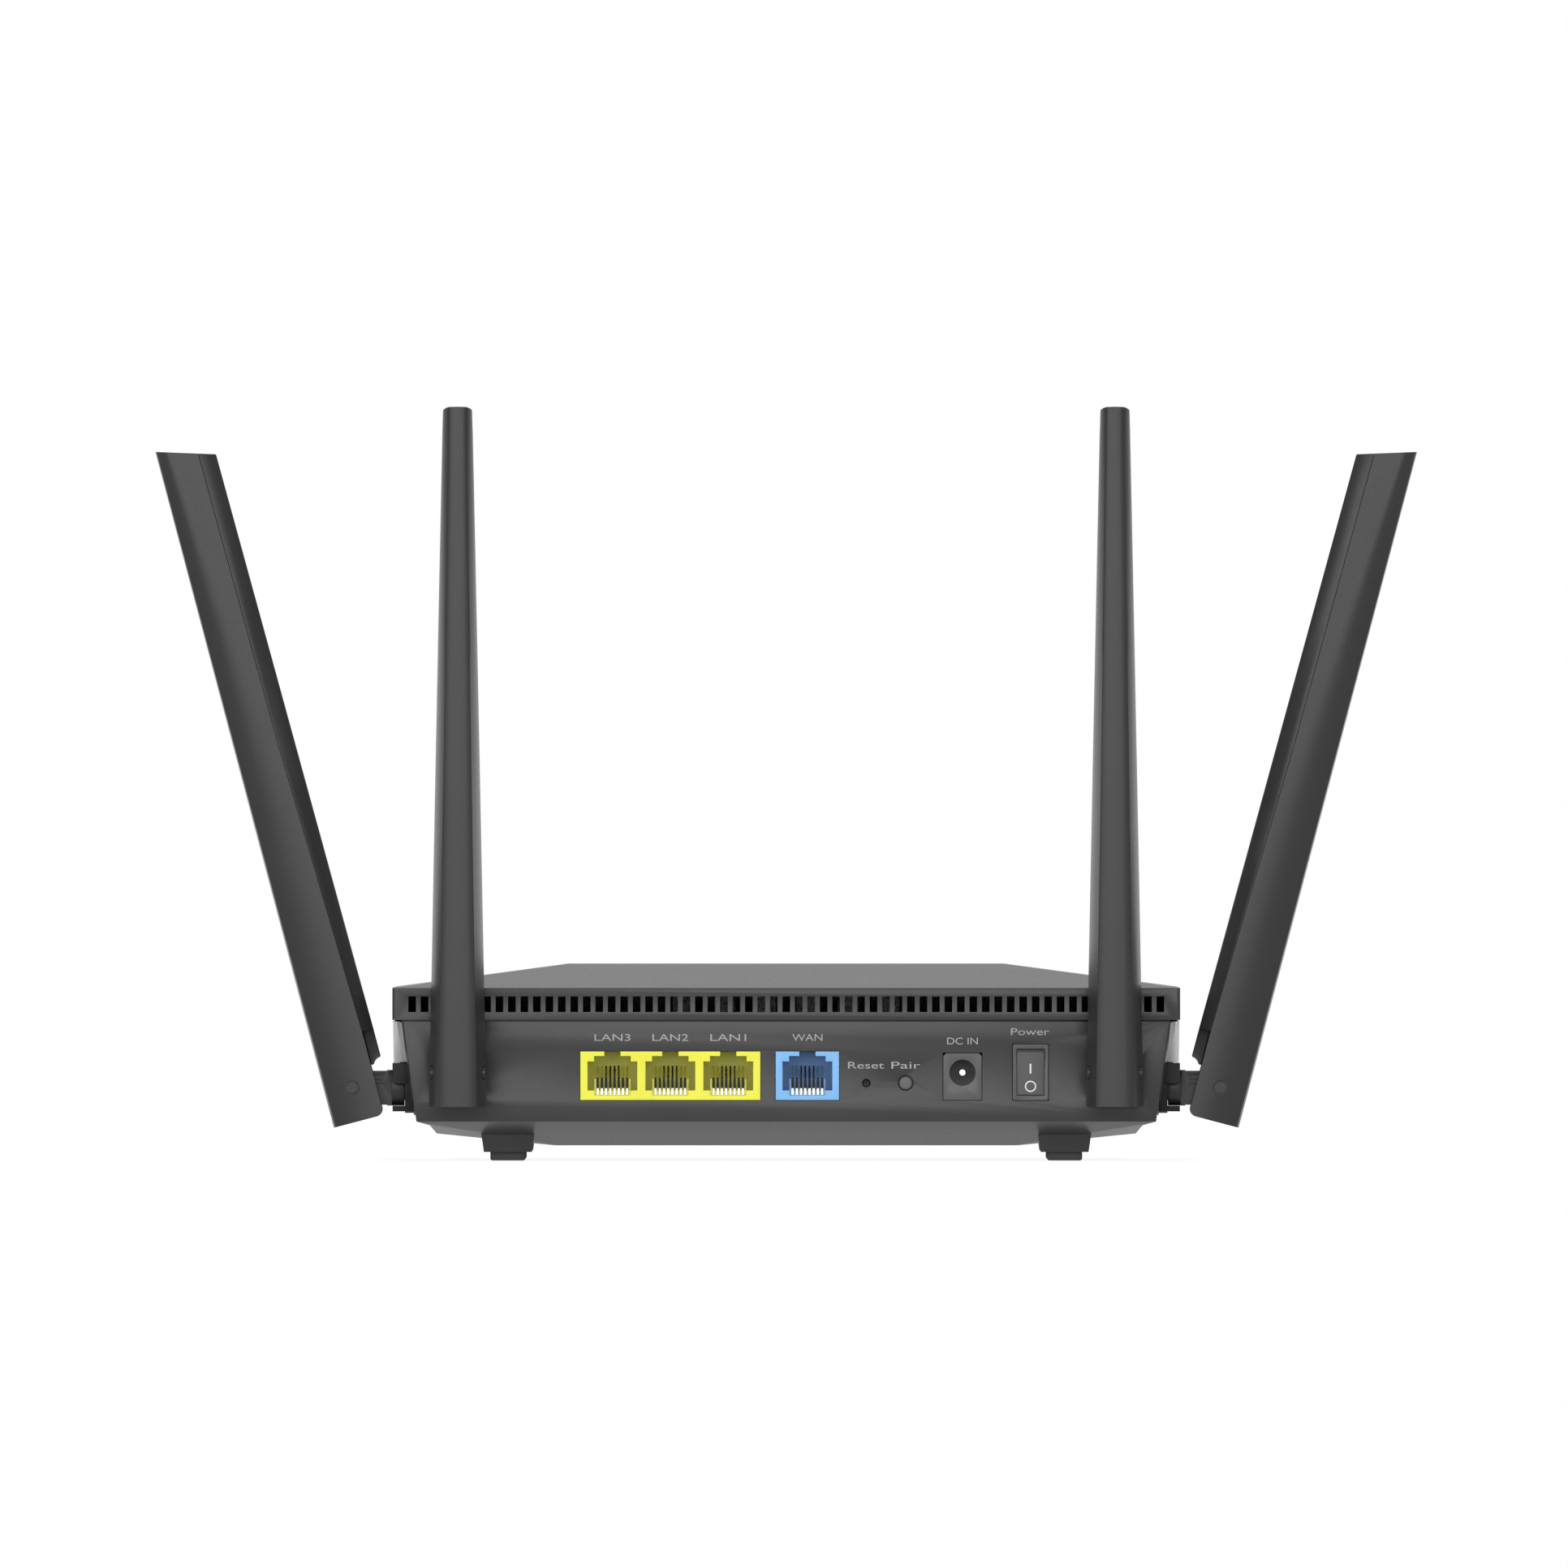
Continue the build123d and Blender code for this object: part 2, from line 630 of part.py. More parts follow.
def inner_crease(drop):
    """Depth at which the flat side meets the inner cover."""
    return 9.9 + 0.8 * drop / 76 if drop < 76 else min(10.7 + 1.9 * (drop - 76) / 72, leg_depth)


def blade_depth(drop):
    """Whole depth of the blade, with its cover."""
    return 14.0 + 1.4 * min(drop, 155) / 155


def slice_at(drop, points):
    """A mirrored outline of (half width, depth) points, as a face at one level."""
    z = pin_from_tip - drop
    right = [(w, depth - ridge_to_pin, z) for w, depth in points]
    left = [(-w, y, level) for w, y, level in reversed(right) if w > 0]
    return make_face(Polyline(*right, *left, close=True))


def shell_points(drop):
    """Outline of the antenna shell: ridge, rounded side and flat side."""
    half, face, crease = blade_half(drop), ridge_half(drop), outer_crease(drop)
    start = 0.1 * face
    points = [(0, 0), (face, start)]
    for turn in (30, 60):
        bend = math.radians(turn)
        points.append((face + (half - face) * math.sin(bend),
                       start + (crease - start) * (1 - math.cos(bend))))
    return points + [(half, crease), (half, inner_crease(drop))]


def cover_points(drop):
    """Outline of the inner cover, which narrows towards the case."""
    half = blade_half(drop)
    return [(half, inner_crease(drop)), (0.62 * half, blade_depth(drop))]


def hollow_points(drop):
    """Outline of the hollow in the shell."""
    half = blade_half(drop) - 1.3
    face = ridge_half(drop) - 0.3
    return [(face, 2.4), (half, outer_crease(drop) * 0.7 + 1.2), (half, inner_crease(drop) + 0.01)]


def lofted(points_at, stations):
    """A ruled solid through the outlines at several levels."""
    return merged([loft([slice_at(a, points_at(a)), slice_at(b, points_at(b))], ruled=True)
                   for a, b in zip(stations, stations[1:])])


stations = [0.0, 38.0, 76.0, 100.0, 124.0, 148.0, blade_length]


def tip_cut():
    """What the slanted tip removes."""
    angle = math.degrees(math.atan(tip_slant))
    cut = Pos(0, -ridge_to_pin, pin_from_tip) * Rot(-angle, 0, 0) * Box(60, 60, 30, align=LOW)
    return cut


def blade_shell():
    """The outer shell of an antenna, hollow above and forked at its hinge."""
    shell = lofted(shell_points, stations)
    shell -= lofted(hollow_points, [6.0, 38.0, 76.0, 100.0, 124.0, 150.0])
    bottom = pin_from_tip - blade_length
    inner = leg_depth - ridge_to_pin
    shell -= block(-slot_half, slot_half, 2.5 - ridge_to_pin, 30, bottom - 1, 4.5)
    corner = block(-20, 20, inner - leg_round, inner + 5, bottom - 5, bottom + leg_round)
    corner -= rod((-20, inner - leg_round, bottom + leg_round), (20, inner - leg_round,
                  bottom + leg_round), leg_round)
    corner -= block(-20, 20, inner - leg_round - 1, inner + 6, bottom + leg_round, bottom + 9)
    shell -= corner
    shell -= rod((-20, 0, 0), (20, 0, 0), hinge_pin_radius)
    for side in (-1, 1):
        shell -= rod((side * pin_recess, 0, 0), (side * 20, 0, 0), hinge_pin_radius + 0.15)
    shell -= rod((0, 0.4, 3), (0, 0.4, 12), lead_radius + 0.3)
    return shell - tip_cut()


cover_neck = 148.0
cover_end = 156.4


def blade_cover():
    """The cover that closes the inner side of an antenna, with a narrow neck at its foot."""
    cover = lofted(cover_points, [0.0, 38.0, 76.0, 100.0, 124.0, cover_neck])
    neck_low = pin_from_tip - cover_end
    neck_high = pin_from_tip - cover_neck
    inner = blade_depth(cover_neck) - ridge_to_pin
    neck = block(-3.2, 3.2, leg_depth - ridge_to_pin, inner, neck_low, neck_high)
    neck -= rod((-9, inner, neck_low - 0.8), (9, inner, neck_low - 0.8), 2.2)
    return cover + neck - tip_cut()


def radiator():
    """The antenna's board with its copper elements and the end of its lead."""
    strip = block(-0.4, 0.4, -3.4, 3.0, 20, 150)
    patches = [block(0.4, 0.7, -2.6, 2.2, low, low + 24) for low in (28, 62, 96)]
    lead = rod((0.0, 0.4, 6.0), (0.0, 0.4, 20), lead_radius)
    return Compound(children=[strip, lead] + patches)


def hinge_pin():
    """The pin through the fork and the swivel's tongue."""
    return rod((-hinge_pin_half, 0, 0), (hinge_pin_half, 0, 0), hinge_pin_radius)


def knuckle(barrel_end, seat):
    """The swivel: a tongue for the pin, a barrel and a hollow shaft with a clip groove."""
    half = tongue_height / 2
    tongue = rod((-tongue_half, 0, 0), (tongue_half, 0, 0), half)
    tongue += block(-tongue_half, tongue_half, 0, neck_start, -half, half)
    neck = block(-tongue_half, tongue_half, neck_start, barrel_start, -barrel_radius, barrel_radius)
    barrel = rod((0, barrel_start, 0), (0, barrel_end, 0), barrel_radius)
    tail = seat + sleeve_length + 2.2
    shaft = rod((0, barrel_end - 1, 0), (0, tail, 0), shaft_radius)
    body = tongue + neck + barrel + shaft
    body -= rod((-9, 0, 0), (9, 0, 0), hinge_pin_radius + running_gap)
    body -= rod((0, 5.2, 0), (0, tail + 1, 0), lead_radius + 0.35)
    for level in (0.9, 1.9, 2.9):
        for side in (-1, 1):
            body -= block(*sorted((side * (tongue_half - 0.25), side * 5)), 4.8, 7.4, level - 0.2,
                          level + 0.2)
    groove_start = seat + sleeve_length + 0.05
    groove = rod((0, groove_start, 0), (0, groove_start + 0.9, 0), shaft_radius + 1)
    groove -= rod((0, groove_start, 0), (0, groove_start + 0.9, 0), 2.5)
    return body - groove


def swivel_clip(seat):
    """A spring clip in the shaft's groove, behind the socket."""
    start = seat + sleeve_length + 0.1
    clip = rod((0, start, 0), (0, start + 0.8, 0), 4.6)
    clip -= rod((0, start - 1, 0), (0, start + 2, 0), 2.55)
    return clip - block(-2.2, 2.2, start - 1, start + 2, -6, 0)


def hinge_socket(barrel_end, seat, flange_radius):
    """The socket that a swivel turns in: a flange outside the wall and a sleeve through it."""
    flange = rod((0, barrel_end + 0.1, 0), (0, seat, 0), flange_radius)
    sleeve = rod((0, seat - 0.5, 0), (0, seat + sleeve_length, 0), sleeve_radius)
    return flange + sleeve - rod((0, 0, 0), (0, seat + 9, 0), shaft_radius + running_gap)


def side_socket(mirror_guard):
    """A side socket, with a guard beside the barrel and a rest under it."""
    body = hinge_socket(side_barrel_end, side_seat, side_flange_radius)
    outer_u = side_pin_x - half_width
    guard = block(-6.6, -4.75, outer_u, side_seat, 1.1, 6.0)
    guard_edges = guard.edges().filter_by(Axis.X).group_by(Axis.Z)[0].group_by(Axis.Y)[0]
    guard = fillet(guard_edges, radius=1.2)
    web = block(-6.6, 3.0, side_barrel_end + 0.1, side_seat, 3.6, 6.0)
    rest = block(-4.0, 4.0, outer_u, side_seat, -5.7, -barrel_radius - 0.06)
    body = body + guard + web + rest
    body -= rod((0, 0, 0), (0, side_seat + 9, 0), shaft_radius + running_gap)
    return mirror(body, about=Plane.YZ) if mirror_guard else body


# name, hinge pin, turn about Z, lean at rest, barrel end, seat
antennas = [
    ("rear_left", (-rear_pin_x, rear_pin_y, rear_pin_z), 0, 0, rear_barrel_end, rear_seat),
    ("rear_right", (rear_pin_x, rear_pin_y, rear_pin_z), 0, 0, rear_barrel_end, rear_seat),
    ("side_left", (-side_pin_x, side_hinge_y, side_pin_z), -90, side_lean, side_barrel_end, side_seat),
    ("side_right", (side_pin_x, side_hinge_y, side_pin_z), 90, side_lean, side_barrel_end, side_seat),
]


# ---- leads inside the case ----------------------------------------------------------------
def bend_radii(points):
    """The largest arc that each corner of a route has room for."""
    radii = []
    for before, corner, after in zip(points, points[1:], points[2:]):
        first, second = Vector(*corner) - Vector(*before), Vector(*after) - Vector(*corner)
        turn = math.radians(first.get_angle(second))
        radii.append(0.45 * min(first.length, second.length) / math.tan(turn / 2))
    return radii


def lead(points):
    """A round lead along straight runs joined by arcs."""
    radii = bend_radii(points)
    path = FilletPolyline(*points, radius=radii)
    tube = sweep(Plane(origin=path @ 0, z_dir=path % 0) * Circle(lead_radius), path=path)
    expected = math.pi * lead_radius ** 2 * path.length
    print("lead radii", [round(radius, 1) for radius in radii], "volume", round(tube.volume / expected, 3))
    return tube


plug_z = board_top + 2.0
plug_y = wall_y + 49.0
plug_nose = 1.8
plug_xs = {"rear": 56.0, "side": 63.5}


def lead_route(name, pin):
    """The route of one antenna's lead, from its swivel's shaft to its plug on the board."""
    side = -1 if pin[0] < 0 else 1
    plug_x = side * plug_xs[name[:4]]
    plug_end = [(plug_x, plug_y - plug_nose, plug_z)]
    if name.startswith("rear"):
        start_y = pin[1] + rear_seat + 3.0
        return [(pin[0], start_y, pin[2]), (pin[0], start_y + 13, pin[2]), (side * 70.0, wall_y + 29, 20.0),
                (plug_x, wall_y + 36.5, plug_z)] + plug_end
    start_x = pin[0] - side * (side_seat + 3.0)
    return [(start_x, pin[1], pin[2]), (side * 77.0, pin[1], pin[2]), (side * 69.5, wall_y + 22, 18.6),
            (plug_x, wall_y + 33, plug_z)] + plug_end


def lead_plugs():
    """Small coaxial plugs on the board, one for each antenna's lead."""
    plugs = []
    for plug_x in plug_xs.values():
        for x in (-plug_x, plug_x):
            plug = rod((x, plug_y, board_top), (x, plug_y, board_top + 3.2), 1.6)
            plug += block(x - 1.1, x + 1.1, plug_y - plug_nose, plug_y, board_top + 0.9, board_top + 3.1)
            plugs.append(plug)
    return Compound(children=plugs)


# ---- write every sub-part -----------------------------------------------------------------
def main():
    write("bottom_housing", bottom_housing())
    write("top_cover", top_cover())
    write("rubber_feet", rubber_feet())
    write("case_screws", case_screws())
    write("main_board", main_board())
    write("board_screws", board_screws())
    write("lan_port_block", port_block(lan_x, lan_width, lan_socket_xs))
    write("lan_contacts", contacts(lan_socket_xs))
    write("wan_port_block", port_block(wan_x, wan_width, [wan_x]))
    write("wan_contacts", contacts([wan_x]))
    write("dc_jack", dc_jack())
    write("dc_jack_pin", dc_jack_pin())
    write("power_switch_frame", power_switch_frame())
    write("power_rocker", power_rocker())
    write("switch_terminals", switch_terminals())
    write("reset_switch", tact_switch(reset_x, 0.8 + running_gap))
    write("reset_plunger", reset_plunger())
    write("pairing_switch", tact_switch(pairing_x, 1.1 + running_gap))
    write("pairing_button", pairing_button())
    write("light_pipe", light_pipe())
    write("status_leds", status_leds())
    write("processor", processor())
    write("thermal_pad", thermal_pad())
    write("heat_spreader", heat_spreader())
    write("shield_cans", shield_cans())
    write("radio_chips", radio_chips())
    write("memory_chips", memory_chips())
    write("line_transformers", line_transformers())
    write("power_coils", power_coils())
    write("capacitors", capacitors())
    write("lead_plugs", lead_plugs())
    clips = []
    for name, pin, turn, lean, barrel_end, seat in antennas:
        hinge = Pos(*pin) * Rot(0, 0, turn)
        blade = hinge * Rot(lean, 0, 0)
        write(f"{name}_antenna_shell", blade * blade_shell())
        write(f"{name}_antenna_cover", blade * blade_cover())
        write(f"{name}_radiator", blade * radiator())
        write(f"{name}_hinge_pin", blade * hinge_pin())
        write(f"{name}_swivel", hinge * knuckle(barrel_end, seat))
        if name.startswith("side"):
            socket = side_socket(mirror_guard=name == "side_left")
        else:
            socket = hinge_socket(barrel_end, seat, rear_flange_radius)
        write(f"{name}_socket", hinge * socket)
        write(f"{name}_lead", lead(lead_route(name, pin)))
        clips.append(hinge * swivel_clip(seat))
    write("swivel_clips", Compound(children=clips))


main()
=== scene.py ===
"""Wireless router: the studio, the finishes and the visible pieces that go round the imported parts."""
import json
import logging
import math
from collections.abc import Callable
from dataclasses import dataclass, field
from enum import Enum

import bmesh
import bpy
from mathutils import Matrix, Vector


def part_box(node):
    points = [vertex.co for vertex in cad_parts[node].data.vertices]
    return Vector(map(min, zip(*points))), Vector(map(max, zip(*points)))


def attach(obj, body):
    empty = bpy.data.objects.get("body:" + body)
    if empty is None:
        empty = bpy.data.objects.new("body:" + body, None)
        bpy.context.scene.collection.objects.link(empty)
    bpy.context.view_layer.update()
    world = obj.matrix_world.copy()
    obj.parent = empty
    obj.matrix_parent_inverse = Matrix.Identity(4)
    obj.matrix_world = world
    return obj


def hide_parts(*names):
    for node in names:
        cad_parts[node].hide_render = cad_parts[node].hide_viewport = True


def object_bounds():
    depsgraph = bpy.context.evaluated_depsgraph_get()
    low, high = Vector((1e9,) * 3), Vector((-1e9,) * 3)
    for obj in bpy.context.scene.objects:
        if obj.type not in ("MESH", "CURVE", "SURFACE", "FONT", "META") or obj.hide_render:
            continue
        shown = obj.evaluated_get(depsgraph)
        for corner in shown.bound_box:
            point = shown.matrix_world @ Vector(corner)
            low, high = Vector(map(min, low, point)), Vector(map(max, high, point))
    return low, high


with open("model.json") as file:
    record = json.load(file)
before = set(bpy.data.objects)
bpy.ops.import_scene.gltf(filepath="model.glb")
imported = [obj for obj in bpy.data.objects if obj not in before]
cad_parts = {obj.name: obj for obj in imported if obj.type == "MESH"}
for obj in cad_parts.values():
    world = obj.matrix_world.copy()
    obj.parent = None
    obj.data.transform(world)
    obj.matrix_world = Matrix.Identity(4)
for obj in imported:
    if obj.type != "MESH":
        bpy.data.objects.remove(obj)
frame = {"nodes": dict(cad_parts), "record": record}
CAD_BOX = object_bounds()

MM = 0.001
WELD = 0.0005 * MM  # points nearer than this are one point
CREASE = 32.0  # degrees that an edge turns by before it shows sharp
TINY = 1e-7  # metres that count as nothing
FLAT = 0.6  # degrees under which neighbouring faces count as one
SOCKET_PITCH = 13.97  # between neighbouring network sockets, in millimetres
Colour = tuple[float, float, float]
Outline = list[tuple[float, float]]
log = logging.getLogger("router")


# ---- finishes ------------------------------------------------------------------------------
class Surface(Enum):
    """The kind of pattern that a finish carries."""

    MOULDED = "spark-eroded plastic"
    SATIN = "smooth plastic"
    RUBBER = "soft rubber"
    BRUSHED = "drawn or brushed metal"
    LAMINATE = "circuit board"
    PACKAGE = "chip or can with a laser-matt top"
    # sockets get painted shade: their colour darkens inside, where shade falls
    SOCKET = "smooth plastic with dusty, duller sockets behind its face"
    INK = "screen-printed ink"
    CLEAR = "clear plastic"


FLOW = 40.0  # how many grains a flow mottle spans
RUBBER_CELL = 1.6  # how many grains a cell of rubber spans
SHEEN = 0.04  # how far the roughness of plastic strays
BRUSHED_SHEEN = (0.08, 0.1)  # the same for brushed metal, below and above
BRUSHED_STRETCH = (1.0, 0.06, 1.0)
TRACK_EDGE = 0.035  # width of a copper track in bricks of the pattern
TRACK_TONES = (0.85, 1.7)  # the mask's second tone, and the tone over copper
HOLE_SPREAD = (0.09, 0.12)
HOLE_PLATING = (0.62, 0.55, 0.38)


class Graph:
    """A material's node tree, built one node at a time."""

    def __init__(self, name: str) -> None:
        """Start a new material.

        Args:
            name: the material's name.
        """
        self.material = bpy.data.materials.new(name)
        self.material.use_nodes = True
        self.tree = self.material.node_tree
        self.shader = self.tree.nodes["Principled BSDF"]
        self.place = self.tree.nodes.new("ShaderNodeTexCoord").outputs["Object"]

    def add(self, kind: str, **settings: object) -> bpy.types.Node:
        """Add a node and set its properties.

        Args:
            kind: the node's type, without its ShaderNode prefix.
            settings: property names and values.

        Returns:
            The new node.
        """
        node = self.tree.nodes.new("ShaderNode" + kind)
        for key, value in settings.items():
            setattr(node, key, value)
        return node

    def link(self, start: bpy.types.NodeSocket, end: bpy.types.NodeSocket) -> None:
        """Join two sockets."""
        self.tree.links.new(start, end)

    def noise(self, size: float, detail: float = 2.0, stretch: Colour | None = None) -> bpy.types.NodeSocket:
        """A noise pattern on Object coordinates.

        Args:
            size: the pattern's grain in millimetres.
            detail: octaves of finer noise.
            stretch: scale along each axis, for a brushed look.

        Returns:
            The socket of the pattern, from 0 to 1.
        """
        node = self.add("TexNoise")
        node.inputs["Scale"].default_value = 1.0 / (size * MM)
        node.inputs["Detail"].default_value = detail
        source = self.place
        if stretch:
            mapping = self.add("Mapping")
            mapping.inputs["Scale"].default_value = stretch
            self.link(source, mapping.inputs["Vector"])
            source = mapping.outputs["Vector"]
        self.link(source, node.inputs["Vector"])
        return node.outputs["Fac"]

    def cells(self, size: float, feature: str = "F1") -> bpy.types.NodeSocket:
        """A cell pattern on Object coordinates.

        Args:
            size: the cells' size in millimetres.
            feature: the Voronoi feature to measure.

        Returns:
            The socket of the distance.
        """
        node = self.add("TexVoronoi", feature=feature)
        node.inputs["Scale"].default_value = 1.0 / (size * MM)
        self.link(self.place, node.inputs["Vector"])
        return node.outputs["Distance"]

    def blend(self, factor: bpy.types.NodeSocket, low: Colour, high: Colour) -> bpy.types.NodeSocket:
        """A colour between two, by a pattern.

        Args:
            factor: the pattern.
            low: the colour at 0.
            high: the colour at 1.

        Returns:
            The socket of the mixed colour.
        """
        mix = self.add("Mix", data_type="RGBA")
        self.link(factor, mix.inputs["Factor"])
        mix.inputs["A"].default_value = (*low, 1.0)
        mix.inputs["B"].default_value = (*high, 1.0)
        return mix.outputs["Result"]

    def spread(self, value: bpy.types.NodeSocket, low: float, high: float,
               start: float = 0.3, end: float = 0.7) -> bpy.types.NodeSocket:
        """Carry a pattern's values into a new range.

        Args:
            value: the pattern.
            low: the result where the pattern is at or under start.
            high: the result where the pattern is at or over end.
            start: lower end of the pattern's range.
            end: upper end of the pattern's range.

        Returns:
            The socket of the new values.
        """
        node = self.add("MapRange")
        self.link(value, node.inputs["Value"])
        for key, number in (("From Min", start), ("From Max", end), ("To Min", low), ("To Max", high)):
            node.inputs[key].default_value = number
        return node.outputs["Result"]

    def relief(self, height: bpy.types.NodeSocket, depth: float) -> None:
        """Raise a pattern on the surface.

        Args:
            height: the pattern.
            depth: its depth in millimetres.
        """
        bump = self.add("Bump")
        bump.inputs["Distance"].default_value = depth * MM
        self.link(height, bump.inputs["Height"])
        self.link(bump.outputs["Normal"], self.shader.inputs["Normal"])


def toned(colour: Colour, factor: float) -> Colour:
    """A colour made lighter or darker by a factor."""
    return tuple(min(1.0, channel * factor) for channel in colour)


@dataclass(frozen=True)
class Finish:
    """A colour and a surface, and the numbers that a maker would give for them.

    The shade values paint shade inside sockets: the share of the colour and of its grey that is left inside
    them, and how far behind the face, in millimetres, the painted shade starts and ends.
    """

    name: str
    colour: Colour
    surface: Surface = Surface.MOULDED
    roughness: float = 0.42
    metallic: float = 0.0
    grain: float = 0.45
    depth: float = 0.004
    tone: float = 0.05
    gloss: float = 0.5
    # painted shade: how much the colour darkens inside sockets, and over what depth
    shade_share: float = 0.72
    shade_grey: float = 0.2
    shade_from: float = 0.3
    shade_by: float = 1.2

    def build(self) -> bpy.types.Material:
        """Make the material.

        Returns:
            A procedural material that reads Object coordinates only.
        """
        graph = Graph(self.name)
        shader = graph.shader
        shader.inputs["Metallic"].default_value = self.metallic
        shader.inputs["Specular IOR Level"].default_value = self.gloss
        if self.surface is Surface.LAMINATE:
            self.lay_tracks(graph)
        elif self.surface is Surface.BRUSHED:
            self.brush(graph)
        elif self.surface is Surface.SOCKET:
            self.paint_socket_shade(graph)
        else:
            self.mottle(graph)
        if self.surface is Surface.CLEAR:
            shader.inputs["Transmission Weight"].default_value = 0.7
            shader.inputs["IOR"].default_value = 1.49
        return graph.material

    def mottle(self, graph: Graph) -> None:
        """Draw fine grain, a faint flow mottle in the colour, and a patchy sheen.

        Args:
            graph: the material's node tree.
        """
        shader = graph.shader
        flow = graph.noise(self.grain * FLOW, detail=3.0)
        grain = graph.noise(self.grain)
        graph.link(graph.blend(graph.spread(flow, 0.0, 1.0), toned(self.colour, 1 - self.tone),
                               toned(self.colour, 1 + self.tone)), shader.inputs["Base Color"])
        graph.link(graph.spread(grain, self.roughness - SHEEN, self.roughness + SHEEN),
                   shader.inputs["Roughness"])
        if self.surface is Surface.RUBBER:
            grain = graph.cells(self.grain * RUBBER_CELL)
        graph.relief(grain, self.depth)

    def paint_socket_shade(self, graph: Graph) -> None:
        """Keep the colour clear on the face of the ports, and paint shade into it inside them, growing with
        depth behind the face.

        Args:
            graph: the material's node tree.
        """
        self.mottle(graph)
        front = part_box("lan_port_block")[0].y
        place = graph.add("SeparateXYZ")
        graph.link(graph.place, place.inputs["Vector"])
        # painted shade: the colour darkens with depth behind the ports' face
        inside = graph.spread(place.outputs["Y"], 0.0, 1.0, front + self.shade_from * MM,
                              front + self.shade_by * MM)
        shader = graph.shader
        bright = shader.inputs["Base Color"].links[0].from_socket
        mix = graph.add("Mix", data_type="RGBA")
        graph.link(inside, mix.inputs["Factor"])
        graph.link(bright, mix.inputs["A"])
        grey = sum(self.colour) / 3
        shaded_colour = tuple(self.shade_share * channel + self.shade_grey * grey for channel in self.colour)
        mix.inputs["B"].default_value = (*shaded_colour, 1.0)
        graph.link(mix.outputs["Result"], shader.inputs["Base Color"])

    def brush(self, graph: Graph) -> None:
        """Draw long fine scratches, with the sheen following them.

        Args:
            graph: the material's node tree.
        """
        shader = graph.shader
        lines = graph.noise(self.grain, detail=4.0, stretch=BRUSHED_STRETCH)
        graph.link(graph.blend(lines, toned(self.colour, 1 - self.tone), toned(self.colour, 1 + self.tone)),
                   shader.inputs["Base Color"])
        smoother, rougher = BRUSHED_SHEEN
        graph.link(graph.spread(lines, self.roughness - smoother, self.roughness + rougher),
                   shader.inputs["Roughness"])
        graph.relief(lines, self.depth)

    def lay_tracks(self, graph: Graph) -> None:
        """Draw copper tracks and plated holes showing through solder mask.

        Args:
            graph: the material's node tree.
        """
        shader = graph.shader
        second, raised = TRACK_TONES
        tracks = graph.add("TexBrick", offset=0.35, squash=0.7)
        tracks.inputs["Scale"].default_value = 1.0 / (self.grain * MM)
        tracks.inputs["Mortar Size"].default_value = TRACK_EDGE
        tracks.inputs["Color1"].default_value = (*self.colour, 1.0)
        tracks.inputs["Color2"].default_value = (*toned(self.colour, second), 1.0)
        tracks.inputs["Mortar"].default_value = (*toned(self.colour, raised), 1.0)
        graph.link(graph.place, tracks.inputs["Vector"])
        holes = graph.spread(graph.cells(self.grain * 1.3), 1.0, 0.0, *HOLE_SPREAD)
        mix = graph.add("Mix", data_type="RGBA")
        graph.link(holes, mix.inputs["Factor"])
        graph.link(tracks.outputs["Color"], mix.inputs["A"])
        mix.inputs["B"].default_value = (*HOLE_PLATING, 1.0)
        graph.link(mix.outputs["Result"], shader.inputs["Base Color"])
        graph.link(graph.spread(graph.noise(1.2), self.roughness - 0.05, self.roughness + 0.05),
                   shader.inputs["Roughness"])
        graph.relief(tracks.outputs["Fac"], self.depth)


GREY_CASE = Finish("case_graphite", (0.047, 0.047, 0.047), roughness=0.32, gloss=0.35)
GREY_BLADE = Finish("antenna_graphite", (0.031, 0.031, 0.031), roughness=0.34, grain=0.4, gloss=0.38)
GREY_SWIVEL = Finish("swivel_graphite", (0.034, 0.034, 0.035), roughness=0.38, grain=0.3, gloss=0.3)
GREY_SOCKET = Finish("socket_graphite", (0.02, 0.02, 0.0205), gloss=0.18, roughness=0.5, grain=0.3)
GREY_JACK = Finish("jack_grey", (0.1, 0.1, 0.1), Surface.SATIN, roughness=0.4, grain=0.3)
GREY_SWITCH = Finish("switch_grey", (0.08, 0.08, 0.08), Surface.SATIN, roughness=0.4, grain=0.3)
GREY_ROCKER = Finish("rocker_grey", (0.1, 0.1, 0.1), Surface.SATIN, roughness=0.36, grain=0.3)
GREY_BUTTON = Finish("button_grey", (0.11, 0.11, 0.11), Surface.SATIN, roughness=0.38, grain=0.25)
YELLOW_PORT = Finish("lan_yellow", (0.97, 0.96, 0.07), Surface.SOCKET, roughness=0.5, grain=0.3, tone=0.03)
BLUE_PORT = Finish("wan_blue", (0.24, 0.55, 0.97), Surface.SOCKET, roughness=0.5, grain=0.3, tone=0.03)
# painted shade: near-black guides stand for the shade in the contact comb's slots
SHADE_BLACK_GUIDE = Finish("guide_black", (0.006, 0.006, 0.006), Surface.SATIN, roughness=0.7, grain=0.3)
PRINT_GREY = Finish("print_grey", (0.4, 0.4, 0.4), Surface.INK, roughness=0.6, grain=0.15, tone=0.08)
PRINT_WHITE = Finish("print_white", (0.85, 0.85, 0.85), Surface.INK, roughness=0.55, grain=0.15)
